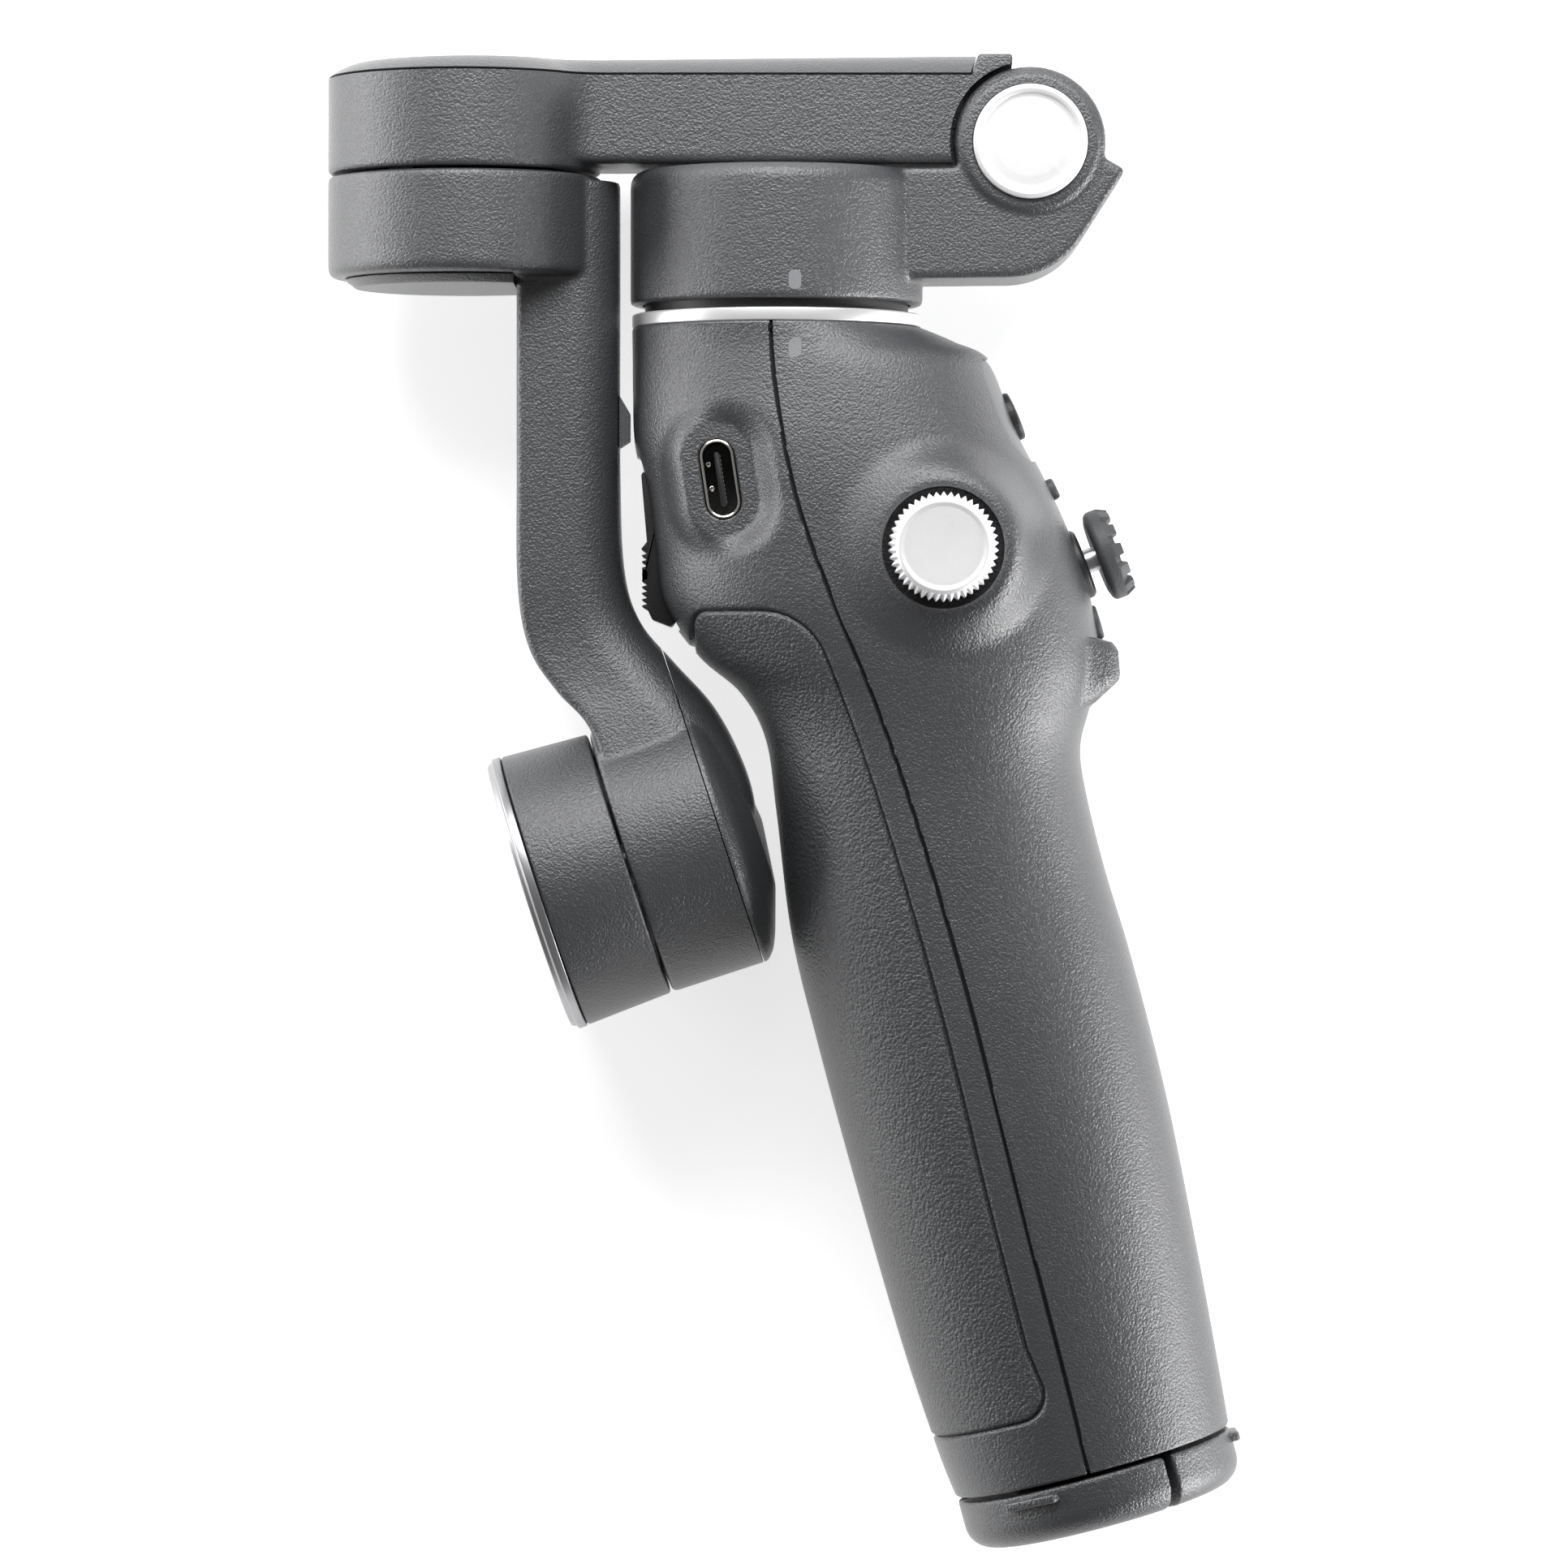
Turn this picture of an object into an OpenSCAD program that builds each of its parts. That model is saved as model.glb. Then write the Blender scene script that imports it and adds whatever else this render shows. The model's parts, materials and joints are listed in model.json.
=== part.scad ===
// Folded three-axis camera gimbal, lying on its side.
// X and Y are counted from the middle of the folded outline. Y runs up the pan axis.
// Z = 0 of the drawing is the middle plane of the handle, and placed() lifts it.

/* [Handle] */
// Radius of the neck under the pan motor
neck_r = 17.45; // [17:0.05:17.6]
// Height of the neck's top face
neck_y = 57.1; // [56.6:0.1:57.4]
// Lean of the grip away from the pan axis, in degrees
grip_lean = 15.4; // [15:0.2:16]
// Thickness of the shell walls
wall = 2.2; // [1.6:0.1:2.4]
// Thickness of the rubber grip pad
pad_t = 0.9; // [0.6:0.1:1.2]
// Largest half thickness, beside the side wheel
head_half = 20; // [19.6:0.1:20.4]

/* [Controls] */
// Radius of the side wheel
wheel_r = 6.5; // [6.2:0.1:6.8]
// Number of teeth on the side wheel
wheel_teeth = 46; // [36:2:60]
// Radius of the joystick's cap
stick_r = 5.6; // [5:0.1:5.8]
// Half width of the trigger
trigger_half = 4.4; // [4:0.2:5.4]
// Number of ribs on the trigger
trigger_ribs = 10; // [7:1:11]

/* [Motors] */
// Radius of the pan motor's housing
pan_r = 17.65; // [17.5:0.05:17.8]
// Radius of the roll motor's housing
roll_r = 16.5; // [16.2:0.1:16.6]
// Radius of the tilt motor's housing
tilt_r = 16.4; // [16:0.1:16.6]
// Lean of the tilt axis below the horizontal, in degrees
tilt_lean = 18.1; // [17:0.1:19]
// Radial clearance of every running shaft
run_gap = 0.06; // [0.03:0.01:0.1]

/* [Arms] */
// Half thickness of the roll arm
arm_half = 8.6; // [8:0.1:9]
// Half thickness of the tilt arm
tilt_arm_half = 7.8; // [7:0.1:8.4]
// Radius of the fold hinge's cheeks
cheek_r = 9.1; // [8.8:0.1:9.3]
// Radius of the metal caps on the fold hinge
cap_r = 6.8; // [6.2:0.1:7]

/* [Tripod] */
// Number of tripod legs
legs = 3; // [3:1:3]
// Radius of the base
base_r = 17; // [16.6:0.1:17.2]
// Radius of the tripod's threaded hole, a quarter inch thread
thread_r = 3.175; // [2.5:0.005:3.2]
// Depth of that screw hole, mm
thread_depth = 5.9; // [4:0.1:6]

/* [Hidden] */
$fn = 64;

slate = [0.36, 0.37, 0.39];
slate_dark = [0.27, 0.28, 0.3];
black = [0.08, 0.08, 0.09];
silver = [0.8, 0.8, 0.81];
steel = [0.6, 0.61, 0.63];

lift = 19.94;
centre_shift = [-0.02, 0.27];
pan_x = -0.9;
roll_x = -38.6;
fold_at = [29.5, 79];
tilt_at = [-18.6, -7.5];
base_at = [37.25, -79.55];
base_gap = 0.35;
foot_h = 6.9;

// Left edge x and y, right edge x and y, half thickness, squareness of each handle section
handle_rows = [
    [-18.35, neck_y, 16.55, neck_y, neck_r, 2],
    [-18.3, 53.6, 20.6, 55.4, 17.7, 2.1],
    [-18.25, 49, 25.1, 52.9, 18.3, 2.25],
    [-18, 43, 28.3, 45, 19.2, 2.35],
    [-16.6, 36.6, 32.1, 37.6, 19.8, 2.4],
    [-15.7, 30, 35.1, 30.6, head_half, 2.45],
    [-14.6, 23.6, 37.3, 23.2, 19.9, 2.45],
    [-10.2, 17.4, 38.1, 16.4, 19.4, 2.4],
    [-5.2, 13, 36.9, 11.2, 18.9, 2.4],
    [-2.2, 7.4, 35.8, 6.6, 18.4, 2.4],
    [-0.9, -1.5, 36.4, 1.4, 18, 2.4],
    [0.9, -16, 38.7, -8, 17.9, 2.4],
    [4, -29, 42, -19, 18, 2.4],
    [8.6, -46, 46.3, -36, 18, 2.35],
    [14.1, -65, 50.2, -55.6, 17.6, 2.25],
    [18.6, -78.5, 52.7, -69.3, 17.2, 2.15],
    [20.8, -84, 53.7, -75.1, 17, 2.1]];

// The line where the front and rear shells meet
seam_knots = [[-1.7, 62], [-1.2, 50.6], [1.3, 36.5], [5.7, 23.9], [10.9, 11.3], [15.9, -3.1],
    [22, -23.9], [28.5, -49.8], [34.5, -73], [38.5, -90]];

function catmull(a, b, c, d, t) =
    0.5 * (2 * b + (c - a) * t + (2 * a - 5 * b + 4 * c - d) * t * t
    + (3 * b - a - 3 * c + d) * t * t * t);

// A smooth list through every knot, with a number of steps between each two
function smooth(knots, steps) =
    let (last = len(knots) - 1)
    [for (i = [0:last - 1]) for (k = [0:steps - 1])
        catmull(knots[max(i - 1, 0)], knots[i], knots[i + 1], knots[min(i + 2, last)], k / steps),
    knots[last]];

function signed_pow(v, p) = sign(v) * pow(abs(v), p);

// The points of one rounded section, in the plane through its two edge points
function section(row, count) =
    let (mid = [row[0] + row[2], row[1] + row[3]] / 2)
    let (half = [row[2] - row[0], row[3] - row[1]] / 2)
    [for (k = [0:count - 1])
        let (a = 360 * (k + 0.5) / count)
        let (u = signed_pow(cos(a), 2 / row[5]))
        [mid.x + half.x * u, mid.y + half.y * u, row[4] * signed_pow(sin(a), 2 / row[5])]];

// The same section with its walls moved in by a distance
function inset_row(row, d) =
    let (span = norm([row[2] - row[0], row[3] - row[1]]))
    let (step = [row[2] - row[0], row[3] - row[1]] * d / span)
    [row[0] + step.x, row[1] + step.y, row[2] - step.x, row[3] - step.y, row[4] - d, row[5]];

// A closed solid through a list of sections
module loft(rows, count) {
    last = len(rows) - 1;
    points = [for (row = rows) each section(row, count)];
    sides = [for (i = [0:last - 1]) for (k = [0:count - 1])
        let (a = i * count + k)
        let (b = i * count + (k + 1) % count)
        each [[a, b + count, b], [a, a + count, b + count]]];
    caps = [[for (k = [0:count - 1]) k], [for (k = [count - 1:-1:0]) last * count + k]];
    polyhedron(points, concat(sides, caps), convexity = 6);
}

module placed() {
    translate([centre_shift.x, centre_shift.y, lift])
        children();
}

// Moves to a point and turns the X axis by an angle
module at(x, y, turn = 0) {
    translate([x, y, 0])
        rotate([0, 0, turn])
            children();
}

// A round bar along Y, from one height to another
module bar_y(y0, y1, r, r_end = 0) {
    translate([0, y0, 0])
        rotate([-90, 0, 0])
            cylinder(h = y1 - y0, r1 = r, r2 = r_end > 0 ? r_end : r);
}

module tube_y(y0, y1, r, hole) {
    difference() {
        bar_y(y0, y1, r);
        bar_y(y0 - 1, y1 + 1, hole);
    }
}

// A flat pill or rounded plate whose face looks along X
module plate_x(x0, x1, size_y, size_z, r) {
    translate([x0, 0, 0])
        rotate([0, 90, 0])
            linear_extrude(x1 - x0)
                rounded(size_z, size_y, r);
}

module rounded(w, h, r) {
    square([w - 2 * r, h], center = true);
    square([w, h - 2 * r], center = true);
    for (x = [-1, 1], y = [-1, 1])
        translate([x * (w / 2 - r), y * (h / 2 - r)])
            circle(r);
}

// The fixed half of a motor: a base plate and a slotted core with a shaft bore, along Z
module stator(r, core_r, h, bore_r, slots = 12) {
    plate_t = 1.4;
    difference() {
        union() {
            cylinder(h = plate_t, r = r);
            cylinder(h = h, r = core_r);
        }
        translate([0, 0, -1])
            cylinder(h = h + 2, r = bore_r);
        for (k = [0:slots - 1])
            rotate([0, 0, 360 * k / slots])
                translate([core_r * 0.62, -0.6, plate_t + 0.6])
                    cube([core_r, 1.2, h]);
    }
}

// The turning half of a motor: a magnet ring, a web and a shaft, along Z
module rotor(r, ring_in, h, web_t, shaft_r, shaft_len) {
    difference() {
        cylinder(h = h, r = r);
        translate([0, 0, web_t])
            cylinder(h = h, r = ring_in);
    }
    cylinder(h = shaft_len, r = shaft_r);
}

// The part of the plan that lies in front of the shells' seam, moved forward by a distance
module front_region(back = 0) {
    knots = smooth(seam_knots, 3);
    polygon(concat([[-60, -95]], [for (k = [len(knots) - 1:-1:0]) knots[k] - [back, 0]], [[-60, 62]]));
}

module handle_solid(inset = 0, count = 36) {
    rows = [for (row = smooth(handle_rows, 2)) inset_row(row, inset)];
    loft(rows, count);
}

module handle_cavity() {
    rows = [for (k = [1:len(handle_rows) - 2]) inset_row(handle_rows[k], wall)];
    loft(smooth(rows, 2), 28);
    at(pan_x, 0)
        bar_y(50, neck_y + 1, 14);
    at(base_at.x, base_at.y, grip_lean)
        bar_y(-10, 12, 11.4);
}

module pad_plan() {
    corner = 3;
    offset(r = corner)
        offset(delta = -corner)
            intersection() {
                front_region(3.5);
                at(base_at.x, base_at.y, grip_lean)
                    translate([-60, 7.9])
                        square([80, 150]);
                difference() {
                    translate([-60, -100])
                        square([100, 122.6]);
                    translate([-60, 17.4])
                        square([49, 10]);
                }
            }
}

module pad_prism(grow = 0) {
    translate([0, 0, -40])
        linear_extrude(80)
            offset(delta = grow)
                pad_plan();
}

usb_at = [-7.6, 38.3];
usb_turn = 8.6;
usb_face = 16;

module usb_plan(grow) {
    rounded(4.1 + 2 * grow, 9.5 + 2 * grow, 2 + grow);
}

wheel_at = [18.8, 30];
wheel_floor = 17.6;
trigger_pivot = [-15.3, 39.2];

// The trigger's outline, with a row of ribs down its face
module trigger_plan(grow = 0) {
    rib_top = 30.6;
    rib_step = 7.6 / trigger_ribs;
    ribs = [for (k = [0:trigger_ribs - 1]) each [
        [-17.2, rib_top - rib_step * (k + 0.35)], [-16.5, rib_top - rib_step * (k + 1)]]];
    offset(delta = grow)
        polygon(concat([[-13.6, 40.8], [-15.4, 40.6], [-17.2, 39.4], [-16.5, 31.2]], ribs,
            [[-15.9, 21.9], [-13.6, 21], [-12.9, 22], [-12.2, 36]]));
}

stick_at = [35.5, 28.5];
stick_turn = 21;
stick_pivot = -5;

module at_stick() {
    at(stick_at.x, stick_at.y, stick_turn)
        children();
}

module at_mode() {
    at(27.7, 46.5, 23)
        children();
}

module at_record() {
    at(32.1, 37.5, 26)
        children();
}

module at_switch() {
    at(37.8, 21.6, 17)
        children();
}

module front_shell() {
    color(slate)
        resize([0, 0, 0])
            difference() {
                intersection() {
                    union() {
                        handle_solid();
                        at(usb_at.x, usb_at.y, usb_turn)
                            translate([0, 0, 8])
                                linear_extrude(usb_face - 7.4)
                                    usb_plan(2.4);
                    }
                    translate([0, 0, -40])
                        linear_extrude(80)
                            front_region();
                }
                handle_cavity();
                difference() {
                    pad_prism();
                    handle_solid(pad_t);
                }
                at(usb_at.x, usb_at.y, usb_turn) {
                    translate([0, 0, usb_face])
                        linear_extrude(9)
                            usb_plan(2);
                    linear_extrude(20)
                        usb_plan(0.05);
                }
                translate([0, 0, -trigger_half - 0.4])
                    linear_extrude(2 * trigger_half + 0.8)
                        union() {
                            trigger_plan(0.5);
                            translate([1.6, 0])
                                trigger_plan(0.5);
                        }
            }
}

module rear_shell() {
    color(slate)
        resize([0, 0, 0])
            difference() {
                union() {
                    intersection() {
                        handle_solid();
                        translate([0, 0, -40])
                            linear_extrude(80)
                                difference() {
                                    translate([-30, -95])
                                        square([110, 155]);
                                    front_region();
                                }
                    }
                    at(wheel_at.x, wheel_at.y)
                        translate([0, 0, 15])
                            cylinder(h = 6.3, r1 = 14, r2 = 8.4, $fn = 40);
                    translate([0, 0, -9])
                        linear_extrude(18)
                            polygon([[35, 19.4], [38.9, 19.4], [40.3, 15.2], [40, 14], [36.6, 11.6]]);
                }
                handle_cavity();
                at(wheel_at.x, wheel_at.y) {
                    translate([0, 0, wheel_floor])
                        cylinder(h = 9, r = wheel_r + 0.8);
                    cylinder(h = 20, r = 2.2);
                }
                at_stick()
                    plate_x(-9, 3, 9, 9, 4.49);
                at(27.2, 47.1, 22.7)
                    plate_x(-0.9, 3, 13.6, 14.4, 3.4);
                at_mode()
                    plate_x(-9, 3, 6.6, 6.6, 3.29);
                at_record()
                    plate_x(-9, 3, 3.2, 7.4, 1.59);
                at_switch()
                    plate_x(-9, 3, 4.8, 7.4, 2.39);
                mark(53.8, 20);
            }
}

module grip_pad() {
    color(slate_dark)
        resize([0, 0, 0])
            intersection() {
                difference() {
                    handle_solid();
                    handle_solid(pad_t);
                }
                pad_prism(-0.15);
            }
}

module neck_ring() {
    color(silver)
        at(pan_x, 0)
            tube_y(neck_y, neck_y + 1.6, neck_r, 12.2);
}

module status_panel() {
    color([0.45, 0.46, 0.48])
        difference() {
            at(27.2, 47.1, 22.7)
                plate_x(-0.9, 0.5, 13.2, 14, 3.2);
            at_mode()
                plate_x(-9, 3, 6.6, 6.6, 3.29);
        }
}

module usb_shell() {
    color(silver)
        at(usb_at.x, usb_at.y, usb_turn)
            translate([0, 0, 9])
                difference() {
                    linear_extrude(usb_face - 8.6)
                        usb_plan(0);
                    translate([0, 0, 0.8])
                        linear_extrude(9)
                            usb_plan(-0.42);
                }
}

module usb_tongue() {
    color(black)
        at(usb_at.x, usb_at.y, usb_turn)
            translate([0, 0, 9.8])
                linear_extrude(5.2)
                    rounded(0.9, 6.8, 0.3);
}

module main_board() {
    color([0.1, 0.3, 0.2])
        at(6, 22, grip_lean)
            translate([-5, -18, 10.2])
                cube([13, 33, 1]);
}

module battery() {
    color([0.25, 0.35, 0.6])
        at(base_at.x, base_at.y, grip_lean)
            translate([11.4, 80.75, 0])
                rotate([90, 0, 0])
                    linear_extrude(50.5, center = true)
                        rounded(8.6, 20, 2);
}

// Places the telescopic rod along the grip's own axis, with Y up the rod
module at_rod() {
    at(pan_x - 2, neck_y - 5, grip_lean)
        children();
}

module rod_stage(k) {
    r = 8.4 - k;
    color(k == 0 ? steel : slate_dark)
        at_rod()
            tube_y(-64 + 1.5 * k, 0, r, r - 1 + run_gap);
}

module rod_head() {
    color(slate_dark)
        at(pan_x, 0)
            bar_y(neck_y - 2.3, neck_y + 1.6, 12);
}

module pan_stator() {
    color(black)
        at(pan_x, neck_y + 1.6)
            rotate([-90, 0, 0])
                stator(15.9, 11.4, 11.5, 2.5 + run_gap);
}

module joystick_bezel() {
    color(black)
        at_stick()
            rotate([0, 90, 0])
                difference() {
                    translate([0, 0, -2])
                        cylinder(h = 2.8, r1 = 4.3, r2 = 3.9);
                    translate([0, 0, -4])
                        cylinder(h = 8, r1 = 2, r2 = 4.6);
                }
}

module wheel_encoder() {
    color(black)
        at(wheel_at.x, wheel_at.y)
            difference() {
                translate([-4.5, -4.5, 10])
                    cube([9, 9, 3.2]);
                translate([0, 0, 9])
                    cylinder(h = 9, r = 1.6 + run_gap);
            }
}

// A printed alignment mark, let into the round side
module mark(y, top) {
    at(1.3, y)
        translate([0, 0, 16.6])
            linear_extrude(top - 16.6)
                rounded(1.5, 2.3, 0.6);
}

module handle_mark() {
    color(silver)
        mark(53.8, 17.6);
}

module tripod_well() {
    color(slate_dark)
        at(base_at.x, base_at.y, grip_lean) {
            tube_y(0.6, 54, 11.2, 10.2);
            bar_y(53, 54, 11.2);
        }
}

module trigger_pin() {
    color(steel)
        at(trigger_pivot.x, trigger_pivot.y)
            cylinder(h = 2 * trigger_half + 3, r = 0.6, center = true);
}

module mode_button() {
    color(black)
        at_mode()
            plate_x(-2, 0.9, 6, 6, 2.99);
}

module record_button() {
    color(slate_dark)
        at_record()
            plate_x(-2, 0.9, 2.6, 6.8, 1.29);
}

module switch_button() {
    color(slate_dark)
        at_switch()
            plate_x(-2, 0.8, 4.2, 6.8, 2.09);
}

module joystick_ring() {
    color(steel)
        at_stick()
            translate([stick_pivot, 0, 0])
                rotate([0, 90, 0])
                    difference() {
                        cylinder(h = 1.6, r = 3.3, center = true);
                        cylinder(h = 3, r = 2.4, center = true);
                    }
}

module joystick_stem() {
    ball_r = 2.1;
    stem_r = 1.5;
    join = asin(stem_r / ball_r);
    ball = [for (k = [0:10]) let (a = 180 - (180 - join) * k / 10) ball_r * [sin(a), cos(a)]];
    color(silver)
        at_stick()
            translate([stick_pivot, 0, 0])
                rotate([0, 90, 0])
                    rotate_extrude()
                        polygon(concat(ball, [[stem_r, 8.2], [0, 8.2]]));
}

module joystick_cap() {
    color(slate_dark)
        at_stick()
            rotate([0, 90, 0])
                difference() {
                    rotate_extrude()
                        polygon([[0, 3.2], [1.6, 3.2], [1.6, 2.95], [4.2, 2.6], [stick_r, 2.9], [stick_r, 4.2], [4.9, 5.6],
                            [4.1, 5.4], [2.6, 4.5], [0, 4.2]]);
                    for (k = [0:11])
                        rotate([0, 0, 30 * k])
                            translate([5.4, 0, 5.9])
                                rotate([0, 90, 0])
                                    cylinder(h = 3, r = 0.7, center = true);
                }
}

module wheel_shaft() {
    color(steel)
        at(wheel_at.x, wheel_at.y) {
            translate([0, 0, 9.6])
                cylinder(h = 11.4, r = 1.6);
            translate([0, 0, 18.2])
                cylinder(h = 1, r = 4);
        }
}

module side_wheel() {
    star = [for (k = [0:2 * wheel_teeth - 1])
        let (r = k % 2 == 0 ? wheel_r : wheel_r - 0.5)
        let (a = 180 * k / wheel_teeth)
        r * [cos(a), sin(a)]];
    color(silver)
        at(wheel_at.x, wheel_at.y)
            difference() {
                intersection() {
                    translate([0, 0, 19.6])
                        linear_extrude(8)
                            polygon(star);
                    rotate_extrude()
                        polygon([[0, 19.6], [wheel_r - 0.4, 19.6], [wheel_r + 0.1, 20.1],
                            [wheel_r + 0.1, 24.9], [wheel_r - 1, 26], [4.6, 25.7], [0, 25.6]]);
                }
                translate([0, 0, 19])
                    cylinder(h = 4, r = 1.6 + run_gap);
            }
}

module trigger() {
    color(black)
        difference() {
            translate([0, 0, -trigger_half])
                linear_extrude(2 * trigger_half)
                    trigger_plan();
            at(trigger_pivot.x, trigger_pivot.y)
                cylinder(h = 40, r = 0.6 + run_gap, center = true);
        }
}

module at_base() {
    at(base_at.x, base_at.y, grip_lean)
        children();
}

// One sector of the tripod, centred on a direction round the base's axis
module sector(k, r, hole, y0, y1) {
    slit = 1.1;
    half_turn = 180 / legs;
    reach = 40;
    tip = slit / 2 / sin(half_turn);
    far = [tip + reach * cos(half_turn), reach * sin(half_turn)];
    rotate([0, -360 * k / legs, 0])
        intersection() {
            tube_y(y0, y1, r, hole);
            translate([0, y1 + 1, 0])
                rotate([90, 0, 0])
                    linear_extrude(y1 - y0 + 2)
                        polygon([[tip, 0], far, [reach, far.y], [reach, -far.y], [far.x, -far.y]]);
        }
}

module tripod_leg(k) {
    color(slate_dark)
        at_base()
            sector(k, 9.6, 5.1, -base_gap - 0.4, 44);
}

module tripod_foot(k) {
    edge = 2.2;
    color(slate)
        at_base() {
            difference() {
                sector(k, base_r, 5.1, -foot_h, -base_gap - 0.4);
                difference() {
                    bar_y(-foot_h - 1, -foot_h + edge, base_r + 1);
                    bar_y(-foot_h, -foot_h + edge, base_r - edge, base_r);
                }
            }
            rotate([0, -360 * k / legs, 0])
                translate([base_r - 1.2, -2.4, -4])
                    cube([2.1, 1.2, 8]);
        }
}

module tripod_hub() {
    color(steel)
        at_base()
            difference() {
                bar_y(44.2, 52, 9.8);
                bar_y(43, 48, 4.7);
            }
}

module tripod_spindle() {
    mouth = -foot_h + 0.3;
    color(steel)
        at_base()
            difference() {
                bar_y(mouth, 48, 4.6);
                bar_y(mouth - 1, mouth + thread_depth, thread_r);
            }
}

module pan_housing() {
    y0 = neck_y + 2.3;
    y1 = 76;
    edge = 1.6;
    color(slate)
        at(pan_x, 0)
            difference() {
                union() {
                    bar_y(y0, y1 - edge, pan_r);
                    bar_y(y1 - edge, y1, pan_r, pan_r - edge);
                }
                bar_y(y0 - 1, y0 + 2, 16.2);
                bar_y(y0 - 1, y1 - 2.4, 14.6);
                translate([-pan_x, 0, 0])
                    mark(61.6, 20);
            }
}

module pan_rotor() {
    color(steel)
        at(pan_x, 73.5)
            rotate([90, 0, 0])
                rotor(14.5, 12, 11, 1.4, 2.5, 12);
}

// The elbow that carries the fold hinge's two cheeks
module elbow_plan() {
    difference() {
        offset(r = -3)
            offset(delta = 3)
                union() {
                    translate([12, 62.6])
                        square([12, 13.3]);
                    hull() {
                        translate([20, 62.8])
                            square([6, 13]);
                        translate([28.5, 70.2])
                            circle(7.4);
                        translate(fold_at)
                            circle(6);
                    }
                    polygon([[30, 66], [35.9, 67.5], [40.6, 75.6], [38.6, 76.6], [36, 79]]);
                    translate(fold_at)
                        circle(cheek_r);
                }
        translate([pan_x - 40, 60])
            square([40 + 13, 20]);
    }
}

module pan_arm() {
    web = 4.9;
    color(slate)
        difference() {
            translate([0, 0, -9])
                linear_extrude(18)
                    difference() {
                        elbow_plan();
                        translate([10, 76])
                            square([11, 20]);
                    }
            at(fold_at.x, fold_at.y)
                cylinder(h = 2 * web, r = cheek_r + 0.5, center = true);
            translate([-10, 76, -web])
                cube([50, 20, 2 * web]);
            at(pan_x, 0)
                bar_y(50, 80, pan_r + 0.02);
            at(fold_at.x, fold_at.y) {
                cylinder(h = 40, r = 2.5, center = true);
                for (side = [-1, 1])
                    translate([0, 0, side * 10])
                        cylinder(h = 3, r = cap_r + 0.1, center = true);
            }
        }
}

module pan_mark() {
    color(silver)
        mark(61.6, 17.6);
}

module hinge_pin() {
    color(steel)
        at(fold_at.x, fold_at.y)
            cylinder(h = 17, r = 2.5, center = true);
}

module hinge_cap(side) {
    color(silver)
        at(fold_at.x, fold_at.y)
            rotate([side > 0 ? 0 : 180, 0, 0])
                rotate_extrude()
                    polygon([[0, 8.5], [cap_r, 8.5], [cap_r, 9.6], [cap_r - 0.5, 10], [5.9, 9.9],
                        [5.3, 9.5], [0, 9.4]]);
}

// The roll arm seen along Y: the motor's circle and the bar, blended together
module arm_plan(shrink = 0) {
    blend = 6;
    offset(r = -blend)
        offset(delta = blend)
            union() {
                translate([roll_x, 0])
                    circle(roll_r - shrink);
                translate([roll_x, -arm_half + shrink])
                    square([fold_at.x - roll_x - 2, 2 * (arm_half - shrink)]);
            }
}

module plan_y(y0, y1) {
    translate([0, y1, 0])
        rotate([90, 0, 0])
            linear_extrude(y1 - y0)
                children();
}

module knuckle_room() {
    at(fold_at.x, fold_at.y)
        difference() {
            cylinder(h = 60, r = cheek_r + 0.7, center = true);
            translate([-30, -30, -4.5])
                cube([60, 60, 9]);
        }
}

module roll_arm() {
    floor_y = 76.4;
    color(slate)
        difference() {
            union() {
                plan_y(floor_y, 87)
                    arm_plan();
                at(roll_x, 0)
                    bar_y(75.8, 77, roll_r - 0.3);
                translate([0, 0, -4.5])
                    linear_extrude(9) {
                        translate(fold_at)
                            circle(8.2);
                        translate([fold_at.x - 12, floor_y])
                            square([12, 10.6]);
                    }
            }
            knuckle_room();
            at(roll_x, 0)
                bar_y(70, 84.2, 14.6);
            at(fold_at.x, fold_at.y)
                cylinder(h = 40, r = 2.5 + run_gap, center = true);
        }
}

module arm_cover() {
    rim = 0.7;
    rise = 2.6;
    edge = 2.6;
    color(slate)
        difference() {
            union() {
                plan_y(87, 87 + rim)
                    arm_plan(0.2);
                at(roll_x, 0)
                    bar_y(87.3, 87 + rise, roll_r - 0.5, roll_r - edge);
                translate([roll_x, 87.3, 0])
                    rotate([90, 0, 90])
                        linear_extrude(fold_at.x - roll_x - 2.2)
                            polygon([[0, 0.5 - arm_half], [rise - 0.3, edge - arm_half],
                                [rise - 0.3, arm_half - edge], [0, arm_half - 0.5]]);
            }
            knuckle_room();
        }
}

module roll_stator() {
    color(black)
        at(roll_x, 84.1)
            rotate([90, 0, 0])
                stator(14.5, 10.6, 11, 2.5 + run_gap);
}

// Left edge x and y, right edge x and y, half thickness, squareness down the tilt arm
tilt_arm_rows = [
    [-32.1, 75.1, -19.8, 75.1, tilt_arm_half, 4],
    [-32.1, 60, -19.8, 60, tilt_arm_half, 4],
    [-32.1, 40, -19.8, 40, tilt_arm_half, 4],
    [-32, 26, -19.3, 28, tilt_arm_half, 4],
    [-30.6, 18.3, -17.4, 21.7, tilt_arm_half, 4],
    [-27.3, 13.2, -13.3, 16.2, 8.4, 3.6],
    [-23.4, 8.9, -9, 11.6, 9.6, 3.2],
    [-20.9, 2, -5.4, 6.6, 11.5, 3]];

module at_tilt() {
    at(tilt_at.x, tilt_at.y, tilt_lean)
        children();
}

// Turns a solid drawn along Z so that it runs along X
module along_x() {
    rotate([0, 90, 0])
        children();
}

// All that lies beyond a distance along the tilt axis, on the motor's part of the arm
module cover_room(start) {
    at_tilt()
        translate([start, -30, -30])
            cube([30, 60, 60]);
}

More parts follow.
